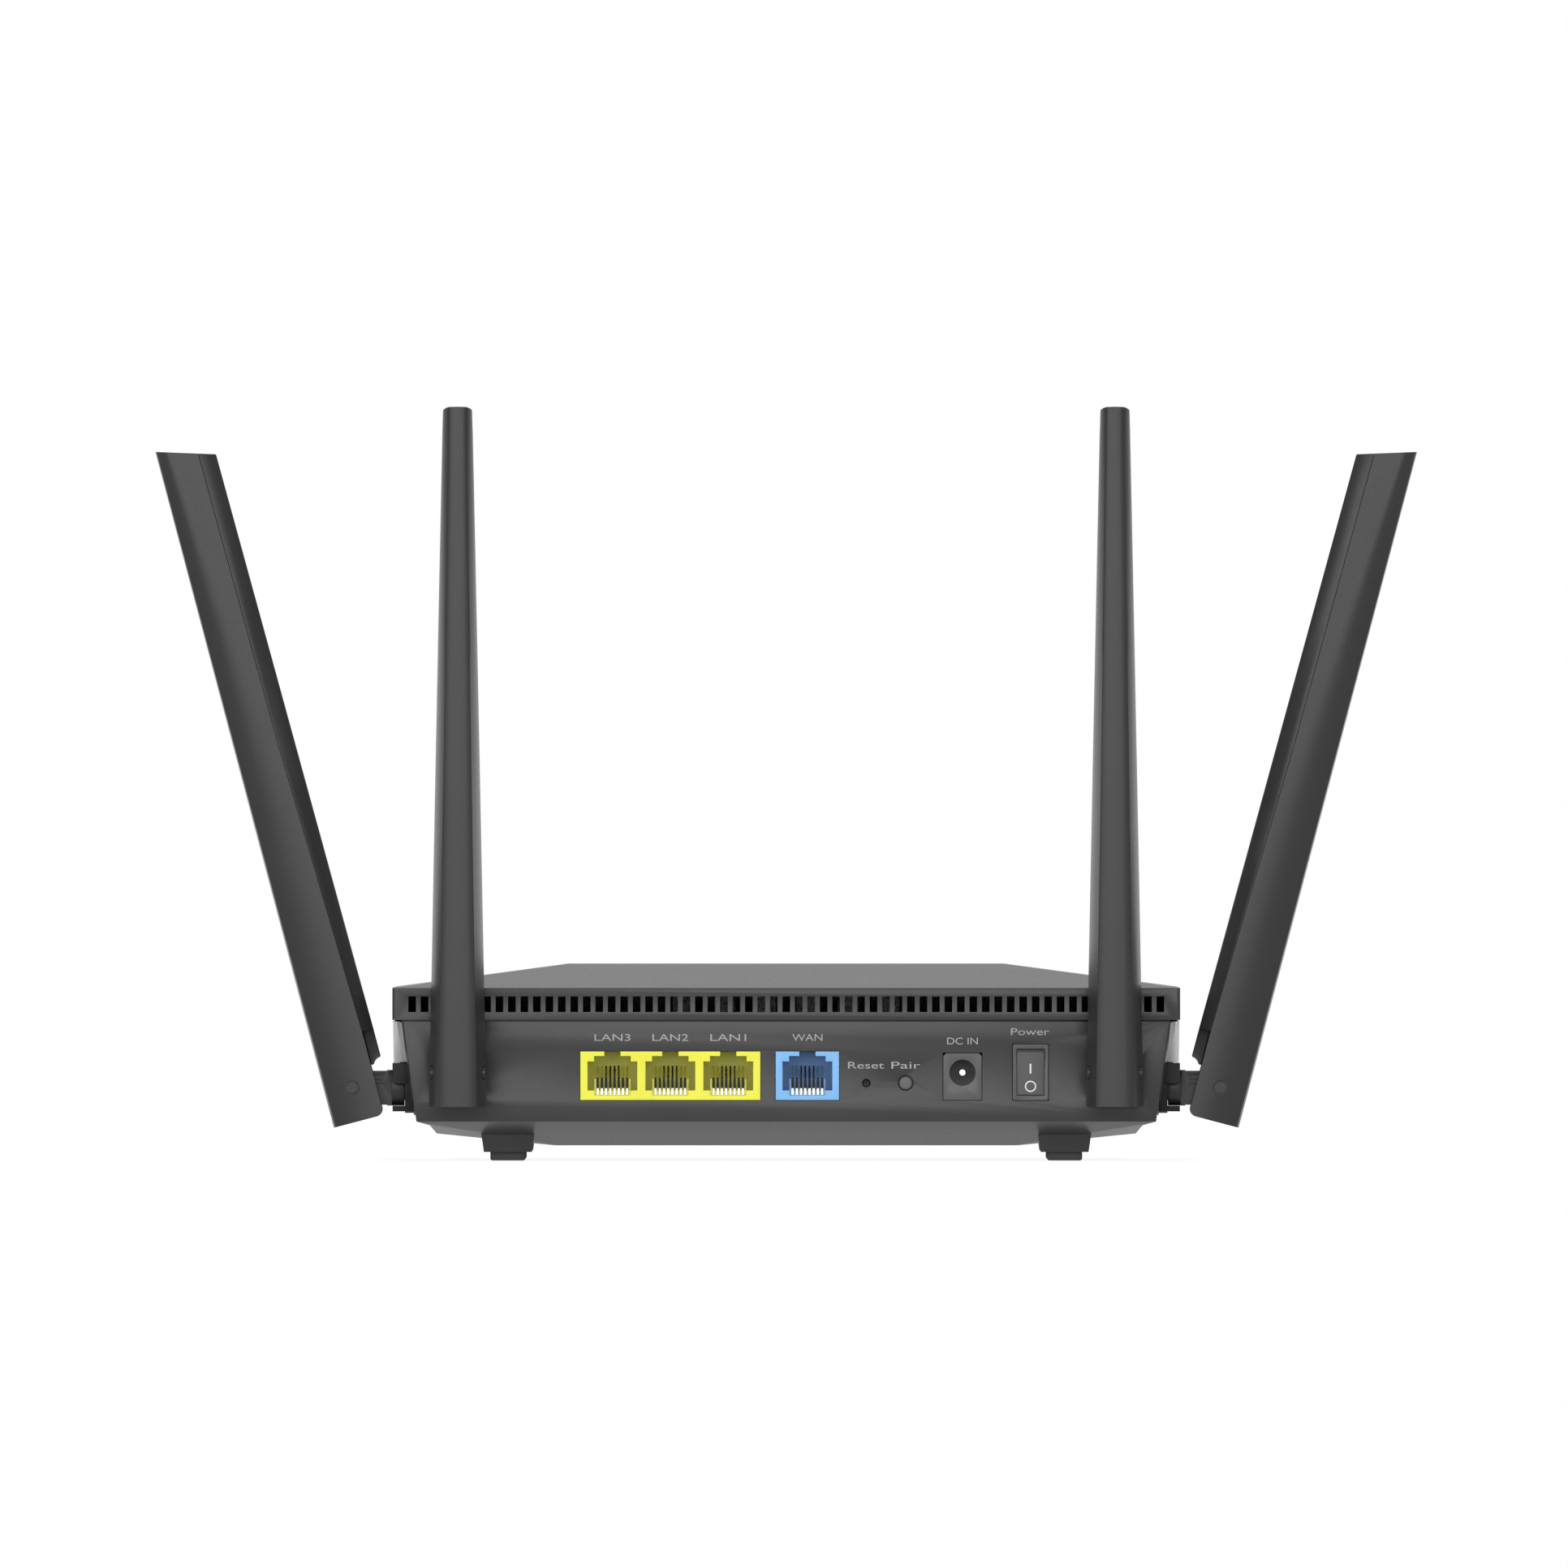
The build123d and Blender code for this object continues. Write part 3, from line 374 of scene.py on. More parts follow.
SLOT_FINISHES = {
    "case_plastic": GREY_CASE,
    "antenna_plastic": GREY_BLADE,
    "swivel_plastic": GREY_SWIVEL,
    "socket_plastic": GREY_SOCKET,
    "foot_rubber": Finish("foot_rubber", (0.05, 0.05, 0.05), Surface.RUBBER, 0.72, grain=0.5, depth=0.03),
    "screw_steel": Finish("screw_zinc", (0.62, 0.6, 0.56), Surface.BRUSHED, 0.34, 1.0, grain=0.3),
    "clip_steel": Finish("clip_spring_steel", (0.5, 0.5, 0.5), Surface.BRUSHED, 0.3, 1.0, grain=0.3),
    "pin_plastic": Finish("pin_graphite", (0.032, 0.032, 0.032), roughness=0.36, grain=0.25, gloss=0.35),
    "board_laminate": Finish("board_green", (0.012, 0.085, 0.03), Surface.LAMINATE, 0.33, grain=4.0,
                             depth=0.02),
    "radiator_board": Finish("radiator_green", (0.02, 0.07, 0.03), Surface.LAMINATE, 0.4, grain=3.0,
                             depth=0.02),
    "lan_yellow": YELLOW_PORT,
    "wan_blue": BLUE_PORT,
    "contact_gold": Finish("contact_gold", (0.95, 0.88, 0.7), Surface.BRUSHED, 0.28, 1.0, grain=0.15,
                           depth=0.001),
    "jack_plastic": GREY_JACK,
    "jack_metal": Finish("jack_nickel", (0.86, 0.86, 0.85), Surface.BRUSHED, 0.2, 1.0, grain=0.2,
                         depth=0.001),
    "switch_plastic": GREY_SWITCH,
    "rocker_plastic": GREY_ROCKER,
    "terminal_metal": Finish("terminal_tin", (0.72, 0.71, 0.69), Surface.BRUSHED, 0.35, 1.0, grain=0.2),
    "tact_body": Finish("tact_black", (0.02, 0.02, 0.022), Surface.SATIN, 0.45, grain=0.3),
    "button_plastic": GREY_BUTTON,
    "lens_clear": Finish("lens_clear", (0.86, 0.88, 0.9), Surface.CLEAR, 0.28, grain=0.4, tone=0.02),
    "lamp_white": Finish("lamp_white", (0.9, 0.88, 0.72), Surface.SATIN, 0.4, grain=0.2),
    "chip_black": Finish("chip_black", (0.018, 0.018, 0.02), Surface.PACKAGE, 0.55, grain=0.2, depth=0.006),
    "pad_soft": Finish("pad_pink_grey", (0.42, 0.36, 0.4), Surface.RUBBER, 0.8, grain=0.6, depth=0.03),
    "spreader_metal": Finish("spreader_aluminium", (0.6, 0.6, 0.62), Surface.BRUSHED, 0.38, 1.0, grain=0.4),
    "can_metal": Finish("can_tinplate", (0.7, 0.7, 0.68), Surface.BRUSHED, 0.3, 1.0, grain=0.5),
    "capacitor_metal": Finish("capacitor_sleeve", (0.55, 0.56, 0.6), Surface.BRUSHED, 0.32, 1.0, grain=0.4),
    "plug_metal": Finish("plug_brass", (0.8, 0.62, 0.3), Surface.BRUSHED, 0.3, 1.0, grain=0.2),
    "lead_jacket": Finish("lead_jacket", (0.03, 0.03, 0.032), Surface.RUBBER, 0.5, grain=0.3, depth=0.01),
}


class Paintshop:
    """Makes each finish once and hands it out."""

    def __init__(self) -> None:
        """Start with no materials made."""
        self.made: dict[str, bpy.types.Material] = {}

    def coat(self, piece: bpy.types.Object, finish: Finish) -> None:
        """Give a piece one finish.

        Args:
            piece: a mesh object.
            finish: its finish.
        """
        if finish.name not in self.made:
            self.made[finish.name] = finish.build()
        if not piece.material_slots:
            piece.data.materials.append(None)
        for slot in piece.material_slots:
            slot.material = self.made[finish.name]


paintshop = Paintshop()


# ---- mesh helpers --------------------------------------------------------------------------
def to_object(name: str, mesh_data: bmesh.types.BMesh) -> bpy.types.Object:
    """Turn a bmesh into an object in the scene.

    It is smooth except at its creases and between its broad facets.

    Args:
        name: the object's name.
        mesh_data: the bmesh, which is freed.

    Returns:
        The new object, at the origin.
    """
    mesh_data.edges.index_update()
    ridges = [edge.index for edge in mesh_data.edges if is_ridge(edge)]
    mesh = bpy.data.meshes.new(name)
    mesh_data.to_mesh(mesh)
    mesh_data.free()
    mesh.shade_smooth()
    mesh.set_sharp_from_angle(angle=math.radians(CREASE))
    for index in ridges:
        mesh.edges[index].use_edge_sharp = True
    piece = bpy.data.objects.new(name, mesh)
    bpy.context.scene.collection.objects.link(piece)
    return piece


def is_ridge(edge: bmesh.types.BMEdge, turn: float = 2.0, breadth: float = 0.8) -> bool:
    """Tell whether an edge stands between two broad facets.

    Args:
        edge: the edge.
        turn: least angle between the facets, in degrees.
        breadth: least area over outline of each facet, in millimetres.

    Returns:
        True for a crisp line between facets, and False within a rounded surface.
    """
    if not edge.is_manifold or edge.calc_face_angle() < math.radians(turn):
        return False
    return all(face.calc_area() > breadth * MM * face.calc_perimeter() for face in edge.link_faces)


def round_edges(mesh_data: bmesh.types.BMesh, edges: list[bmesh.types.BMEdge], width: float,
                segments: int = 2) -> None:
    """Round some edges.

    Args:
        mesh_data: the bmesh.
        edges: the edges to round.
        width: how far the rounding reaches, in millimetres.
        segments: facets across the rounding.
    """
    bmesh.ops.bevel(mesh_data, geom=edges, offset=width * MM, offset_type="OFFSET", affect="EDGES",
                    segments=segments, profile=0.5, material=-1, clamp_overlap=True)


def corners_of(mesh_data: bmesh.types.BMesh, angle: float, shortest: float) -> list[bmesh.types.BMEdge]:
    """The outward corners of a shape.

    Args:
        mesh_data: the bmesh.
        angle: least turn in degrees.
        shortest: least length in millimetres.

    Returns:
        The edges.
    """
    limit = math.radians(angle)
    return [edge for edge in mesh_data.edges if edge.is_manifold and edge.calc_length() > shortest * MM
            and edge.calc_face_angle_signed() > limit]


@dataclass(frozen=True)
class Moulding:
    """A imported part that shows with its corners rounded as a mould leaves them."""

    node: str
    body: str
    slot: str
    radius: float = 0.2
    shortest: float = 0.25
    angle: float = 28.0

    def build(self) -> bpy.types.Object:
        """Copy the part's shape, merge it, round its corners and dress it.

        Returns:
            The piece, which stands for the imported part.
        """
        shape = bmesh.new()
        shape.from_mesh(frame["nodes"][self.node].data)
        bmesh.ops.remove_doubles(shape, verts=shape.verts, dist=WELD)
        bmesh.ops.dissolve_limit(shape, angle_limit=math.radians(FLAT), use_dissolve_boundaries=False,
                                 verts=shape.verts, edges=shape.edges)
        round_edges(shape, corners_of(shape, self.angle, self.shortest), self.radius)
        piece = to_object(f"{self.node}_moulding", shape)
        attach(piece, self.body)
        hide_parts(self.node)
        paintshop.coat(piece, SLOT_FINISHES[self.slot])
        return piece


# ---- antennas ------------------------------------------------------------------------------
@dataclass
class Blade:
    """One antenna's outer shell, drawn with its hinge pin along X, its tip up and its ridge to -Y.

    Lengths are in millimetres. A drop is a distance below the tip, and a depth is one from the ridge.
    """

    name: str
    length: float = 168.7
    pin_from_tip: float = 160.5
    ridge_to_pin: float = 6.8
    tip_half: float = 3.54
    spread: float = 0.0216
    easing: float = 0.9e-5
    face_tip: float = 2.0
    face_growth: float = 2.6
    ridge_slope: float = 0.1
    ridge_margin: float = 0.14
    first_bend: tuple[float, float] = (0.05, 0.1)
    lip: tuple[float, float] = (0.08, 0.12)
    bend_drop: float = 76.0
    inner_tip: float = 9.9
    inner_bend: float = 10.7
    inner_foot: float = 1.9
    inner_run: float = 72.0
    outer_tip: float = 3.5
    outer_growth: float = 5.6
    outer_bend: float = 9.1
    outer_foot: float = 1.8
    outer_run: float = 24.0
    cover_edge: float = 0.3
    tip_slant: float = 0.305
    side_lean: float = 14.8
    leg_depth: float = 12.6
    leg_round: float = 1.8
    slot_half: float = 3.15
    slot_top: float = 4.5
    slot_floor: float = 2.5
    pin_hole: float = 1.35
    pin_recess: float = 1.75
    recess_from: float = 5.7
    wall: float = 1.3
    hollow_floor: float = 2.4
    hollow_ease: tuple[float, float] = (0.7, 1.2)
    hollow_levels: tuple[float, ...] = (6.0, 38.0, 76.0, 100.0, 124.0, 150.0)
    cover_clearance: float = 0.5
    first_level: float = 6.0
    foot_levels: float = 2.0
    foot_rises: tuple[float, ...] = (1.8, 1.3, 0.9, 0.55, 0.27, 0.09, 0.0)
    slot_reach: float = 30.0
    bar_length: float = 20.0
    rim_angle: float = 50.0
    rim_corners: int = 20
    rim_round: float = 0.16
    bend_steps: int = 12
    rows: int = 34

    @property
    def hinge(self) -> Vector:
        """The middle of the hinge pin, in metres."""
        low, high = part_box(f"{self.name}_hinge_pin")
        return (low + high) / 2

    @property
    def is_side(self) -> bool:
        """True for the antennas on the case's sides."""
        return self.name.startswith("side")

    def placing(self) -> Matrix:
        """Find where the blade stands.

        Returns:
            The transform from the blade's own frame to the router's.
        """
        if not self.is_side:
            return Matrix.Translation(self.hinge)
        turn = math.copysign(math.pi / 2, self.hinge.x)
        turned = Matrix.Rotation(turn, 4, "Z") @ Matrix.Rotation(math.radians(self.side_lean), 4, "X")
        return Matrix.Translation(self.hinge) @ turned

    def half(self, drop: float) -> float:
        """Half width of the blade at a drop."""
        return self.tip_half + self.spread * drop - self.easing * drop * drop

    def face(self, drop: float) -> float:
        """Half width, at a drop, of the face that carries the ridge."""
        return self.face_tip + self.face_growth * drop / self.length

    def inner(self, drop: float) -> float:
        """Find the depth at which the flat side meets the inner cover.

        Args:
            drop: distance below the tip.

        Returns:
            The depth.
        """
        past = drop - self.bend_drop
        if past < 0:
            return self.inner_bend + (self.inner_bend - self.inner_tip) * past / self.bend_drop
        return min(self.inner_bend + self.inner_foot * past / self.inner_run, self.leg_depth)

    def outer(self, drop: float) -> float:
        """Find the depth at which the rounded side becomes flat.

        Args:
            drop: distance below the tip.

        Returns:
            The depth.
        """
        gentle = self.outer_tip + self.outer_growth * drop / self.bend_drop
        steep = self.outer_bend + self.outer_foot * (drop - self.bend_drop) / self.outer_run
        return min(gentle, steep, self.inner(drop) - self.cover_edge)

    def foot_limit(self, drop: float) -> float:
        """Find the greatest depth near the foot, where the legs' inner corners are rounded.

        Args:
            drop: distance below the tip.

        Returns:
            The depth.
        """
        rise = self.length - drop
        if rise >= self.leg_round:
            return self.leg_depth
        drawn_in = math.sqrt(self.leg_round ** 2 - (self.leg_round - rise) ** 2)
        return self.leg_depth - self.leg_round + drawn_in

    def section(self, drop: float) -> Outline:
        """Half of the shell's outline at one level.

        Args:
            drop: distance below the tip.

        Returns:
            (half width, depth) from the ridge to the inner edge.
        """
        half, face, crease = self.half(drop), self.face(drop), self.outer(drop)
        inner = self.inner(drop)
        start = self.ridge_slope * face
        wide, deep = half - face, crease - start
        lean = 2 * math.atan2(deep, wide) - math.pi / 2
        radius = wide / (1 - math.sin(lean))
        outline = [(0.0, 0.0), (face / 2, start / 2),
                   (face - self.ridge_margin, start - self.ridge_slope * self.ridge_margin)]
        for step in range(self.bend_steps + 1):
            bend = lean + (math.pi / 2 - lean) * step / self.bend_steps
            outline.append((face + radius * (math.sin(bend) - math.sin(lean)),
                            start + radius * (math.cos(lean) - math.cos(bend))))
        outline[3] = (face + self.first_bend[0], start + self.first_bend[1])
        outline += [(half, inner - self.lip[1]), (half - self.lip[0], inner), (0.0, inner)]
        limit = self.foot_limit(drop)
        return [(width, min(depth, limit)) for width, depth in outline]

    def hollow(self, drop: float) -> Outline:
        """Half of the outline of the shell's hollow at one level.

        Args:
            drop: distance below the tip.

        Returns:
            (half width, depth) from the hollow's floor to its open side.
        """
        half = self.half(drop) - self.wall
        share, shift = self.hollow_ease
        rim = self.inner(drop) + self.cover_clearance
        return [(0.0, self.hollow_floor), (self.face(drop) - self.cover_edge, self.hollow_floor),
                (half, self.outer(drop) * share + shift), (half, rim), (0.0, rim)]

    def tube(self, outline_at: Callable[[float], Outline], levels: list[float],
             slanted: bool) -> bmesh.types.BMesh:
        """A closed form through mirrored outlines at several levels.

        Args:
            outline_at: a method that gives half an outline for a level.
            levels: distances below the tip.
            slanted: cut the first level at the tip's slant.

        Returns:
            The form, in the blade's own frame, in metres.
        """
        count = 2 * (len(outline_at(levels[0])) - 1)
        form = bmesh.new()
        bmesh.ops.create_grid(form, x_segments=count, y_segments=len(levels) - 1, size=0.5)
        for vert in form.verts:
            row = round((vert.co.y + 0.5) * (len(levels) - 1))
            column = round((vert.co.x + 0.5) * count) % count
            outline = outline_at(levels[row])
            side = 1 if column <= count // 2 else -1
            width, depth = outline[column if side > 0 else count - column]
            level = levels[row] + (self.tip_slant * depth if slanted and row == 0 else 0.0)
            vert.co = Vector((side * width, depth - self.ridge_to_pin, self.pin_from_tip - level)) * MM
        bmesh.ops.remove_doubles(form, verts=form.verts, dist=WELD)
        open_edges = [edge for edge in form.edges if edge.is_boundary]
        bmesh.ops.edgeloop_fill(form, edges=open_edges)
        bmesh.ops.recalc_face_normals(form, faces=form.faces)
        return form

    def levels(self) -> list[float]:
        """Set the levels of the shell, closer together where the foot is rounded.

        Returns:
            Distances below the tip.
        """
        reach = self.length - self.first_level - self.foot_levels
        run = [self.first_level + reach * index / self.rows for index in range(self.rows)]
        foot = [self.length - rise for rise in self.foot_rises]
        return [0.0] + run + foot

    def cutters(self) -> list[bpy.types.Object]:
        """Make what is taken out of the shell.

        Returns:
            Its hollow, the fork's slot, the pin's hole and the two recesses round the pin's ends.
        """
        floor, top = self.slot_floor - self.ridge_to_pin, self.slot_top
        bottom = self.pin_from_tip - self.length - 1
        slot = bmesh.new()
        bmesh.ops.create_cube(slot, size=1.0)
        span = Vector((2 * self.slot_half, self.slot_reach - floor, top - bottom))
        bmesh.ops.scale(slot, vec=span * MM, verts=slot.verts)
        middle = Vector((0, (self.slot_reach + floor) / 2, (top + bottom) / 2))
        bmesh.ops.translate(slot, vec=middle * MM, verts=slot.verts)
        core = self.tube(self.hollow, list(self.hollow_levels), False)
        bmesh.ops.triangulate(core, faces=core.faces[:])
        far = self.bar_length
        parts = [core, slot, round_bar(self.pin_hole, far, 0)]
        for side in (-1, 1):
            parts.append(round_bar(self.pin_recess, far - self.recess_from,
                                   side * (far + self.recess_from) / 2))
        return [to_object(f"cutter_{index}", part) for index, part in enumerate(parts)]

    def build(self) -> bpy.types.Object:
        """Make the shell and carve it.

        Returns:
            The finished shell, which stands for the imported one.
        """
        form = self.tube(self.section, self.levels(), True)
        limit = math.radians(self.rim_angle)
        rims = [edge for edge in form.edges if edge.is_manifold and edge.calc_face_angle() > limit
                and max(len(face.verts) for face in edge.link_faces) > self.rim_corners]
        round_edges(form, rims, self.rim_round)
        bmesh.ops.triangulate(form, faces=form.faces[:])
        shell = carve(to_object(f"{self.name}_antenna_blade", form), self.cutters())
        shell.data.transform(self.placing())
        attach(shell, f"{self.name}_antenna")
        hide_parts(f"{self.name}_antenna_shell")
        paintshop.coat(shell, GREY_BLADE)
        return shell


def round_bar(radius: float, length: float, middle: float) -> bmesh.types.BMesh:
    """A round bar along X.

    Args:
        radius: its radius in millimetres.
        length: its length in millimetres.
        middle: where its middle is along X, in millimetres.

    Returns:
        The bar, in metres.
    """
    shape = bmesh.new()
    bmesh.ops.create_cone(shape, cap_ends=True, segments=48, radius1=radius * MM, radius2=radius * MM,
                          depth=length * MM)
    lie_down = Matrix.Rotation(math.pi / 2, 3, "Y")
    bmesh.ops.rotate(shape, cent=(0, 0, 0), matrix=lie_down, verts=shape.verts)
    bmesh.ops.translate(shape, vec=(middle * MM, 0, 0), verts=shape.verts)
    return shape


def carve(piece: bpy.types.Object, cutters: list[bpy.types.Object]) -> bpy.types.Object:
    """Take some shapes out of a piece.

    Args:
        piece: the piece, which is replaced by its carved form.
        cutters: what is taken out; they are removed from the scene.

    Returns:
        The carved piece.
    """
    for cutter in cutters:
        cut = piece.modifiers.new(cutter.name, "BOOLEAN")
        cut.operation = "DIFFERENCE"
        cut.solver = "EXACT"
        cut.object = cutter
    bpy.context.view_layer.update()
    carved = bpy.data.meshes.new_from_object(piece.evaluated_get(bpy.context.evaluated_depsgraph_get()))
    piece.modifiers.clear()
    piece.data = carved
    carved.shade_smooth()
    carved.set_sharp_from_angle(angle=math.radians(CREASE))
    for cutter in cutters:
        bpy.data.objects.remove(cutter)
    return piece


# ---- ports ---------------------------------------------------------------------------------
@dataclass(frozen=True)
class ContactGuides:
    """Guides that stand over the contacts in each socket of a port block, coloured near-black as painted
    shade for the shade deep in the comb's slots.
    """

    name: str
    block: str
    sockets: tuple[float, ...]
    pitch: float = 1.016
    count: int = 8
    width: float = 0.52
    foot: float = 3.05
    height: float = 2.35
    setback: float = 1.7
    depth: float = 1.6
    rounding: float = 0.07

    def build(self) -> bpy.types.Object:
        """Stand one guide over every contact.

        Returns:
            The guides of the whole block, as one piece.
        """
        low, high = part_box(self.block)
        size = Vector((self.width, self.depth, self.height))
        shape = bmesh.new()
        for socket in self.sockets:
            for index in range(self.count):
                across = socket + (index - (self.count - 1) / 2) * self.pitch
                bar = bmesh.ops.create_cube(shape, size=1.0)["verts"]
                bmesh.ops.scale(shape, vec=size * MM, verts=bar)
                middle = Vector(((low.x + high.x) / 2 + across * MM,
                                 low.y + (self.setback + self.depth / 2) * MM,
                                 low.z + (self.foot + self.height / 2) * MM))
                bmesh.ops.translate(shape, vec=middle, verts=bar)
        round_edges(shape, shape.edges[:], self.rounding)
        piece = to_object(self.name, shape)
        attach(piece, "case")
        # painted shade: the guides' near-black colour stands in for shade in the comb
        paintshop.coat(piece, SHADE_BLACK_GUIDE)
        return piece


# ---- printed marks -------------------------------------------------------------------------
@dataclass(frozen=True)
class Legend:
    """A word printed on the rear wall."""

    name: str
    words: str
    middle: float
    foot: float
    width: float
    height: float = 1.65
    ink: float = 0.02

    def build(self, wall: float) -> bpy.types.Object:
        """Set the word, flatten it to ink and put it on the wall.

        Args:
            wall: the wall's place along Y, in metres.

        Returns:
            The printed word.
        """
        curve = bpy.data.curves.new(self.name, "FONT")
        curve.body = self.words
        curve.extrude = 0.5
        setter = bpy.data.objects.new(self.name + "_set", curve)
        bpy.context.scene.collection.objects.link(setter)
        bpy.context.view_layer.update()
        mesh = bpy.data.meshes.new_from_object(setter)
        bpy.data.objects.remove(setter)
        xs = [vert.co.x for vert in mesh.vertices]
        ys = [vert.co.y for vert in mesh.vertices]
        across = self.width * MM / (max(xs) - min(xs))
        up = self.height * MM / (max(ys) - min(ys))
        centre = Matrix.Translation((-(max(xs) + min(xs)) / 2, -min(ys), 0))
        stretch = Matrix.Diagonal((across, up, self.ink * MM, 1.0))
        stand = Matrix.Rotation(math.pi / 2, 4, "X")
        place = Matrix.Translation((self.middle * MM, wall, self.foot * MM))
        mesh.transform(place @ stand @ stretch @ centre)
        word = bpy.data.objects.new(self.name, mesh)
        bpy.context.scene.collection.objects.link(word)
        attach(word, "case")
        paintshop.coat(word, PRINT_GREY)
        return word


@dataclass
class RockerMarks:
    """The bar and the ring on the power rocker."""

    pivot_depth: float = 2.4
    swing: float = 7.0
    face_slope: float = 8.0
    valley: float = 2.2
    bar_middle: float = 1.15
    bar_size: tuple[float, float] = (0.42, 2.5)
    ring_middle: float = -3.1
    ring_radius: float = 1.2
    ring_steps: int = 48
    bar_round: float = 0.15
    line: float = 0.3
    ink: float = 0.03

    def on_face(self, level: float) -> Matrix:
        """The transform that lays a flat mark on the rocker at a level.

        Args:
            level: height above the pivot, along the rocker.

        Returns:
            A matrix from the mark's own frame, facing -Y, to the router's.
        """
        low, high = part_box("power_rocker")
        frame_low, frame_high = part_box("power_switch_frame")
        pivot = Vector(((low.x + high.x) / 2, frame_low.y + self.pivot_depth * MM,
                        (frame_low.z + frame_high.z) / 2))
        turned = Matrix.Translation(pivot) @ Matrix.Rotation(math.radians(self.swing), 4, "X")
        slope = math.radians(self.face_slope) * (1 if level > 0 else -1)
        reach = -self.valley - abs(level) * math.tan(abs(slope))
        return turned @ Matrix.Translation(Vector((0, reach, level)) * MM) @ Matrix.Rotation(slope, 4, "X")

    def bar(self) -> bmesh.types.BMesh:
        """Make the mark of the rocker's on side.

        Returns:
            A bar with rounded corners, in the mark's own frame.
        """
        shape = bmesh.new()
        bmesh.ops.create_cube(shape, size=1.0)
        size = Vector((self.bar_size[0], self.ink, self.bar_size[1]))
        bmesh.ops.scale(shape, vec=size * MM, verts=shape.verts)
        corners = [edge for edge in shape.edges if abs(edge.verts[0].co.y - edge.verts[1].co.y) > TINY]
        round_edges(shape, corners, self.bar_round, 3)
        return shape

    def ring(self) -> bmesh.types.BMesh:
        """Make the mark of the rocker's off side.

        Returns:
            A ring swept from its narrow section round Y, in the mark's own frame.
        """
        shape = bmesh.new()
        bmesh.ops.create_cube(shape, size=1.0)
        walls = [face for face in shape.faces if abs(face.normal.z) < 0.5]
        bmesh.ops.delete(shape, geom=walls, context="FACES")
        lower = [face for face in shape.faces if face.normal.z < 0]
        bmesh.ops.delete(shape, geom=lower, context="FACES")
        bmesh.ops.scale(shape, vec=Vector((self.line, self.ink, 0.0)) * MM, verts=shape.verts)
        bmesh.ops.translate(shape, vec=Vector((self.ring_radius, 0, 0)) * MM, verts=shape.verts)
        bmesh.ops.spin(shape, geom=shape.verts[:] + shape.edges[:] + shape.faces[:], cent=(0, 0, 0),
                       axis=(0, 1, 0), angle=math.tau, steps=self.ring_steps, use_merge=True)
        start = [face for face in shape.faces if len(face.verts) == 4 and abs(face.normal.z) > 0.999
                 and abs(face.calc_center_median().z) < TINY]
        bmesh.ops.delete(shape, geom=start, context="FACES_ONLY")
        bmesh.ops.recalc_face_normals(shape, faces=shape.faces)
        return shape

    def build(self) -> list[bpy.types.Object]:
        """Make both marks.

        Returns:
            The bar and the ring.
        """
        marks = []
        for name, shape, level in (("rocker_mark_on", self.bar(), self.bar_middle),
                                   ("rocker_mark_off", self.ring(), self.ring_middle)):
            mark = to_object(name, shape)
            mark.data.transform(self.on_face(level))
            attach(mark, "rocker")
            paintshop.coat(mark, PRINT_WHITE)
            marks.append(mark)
        return marks


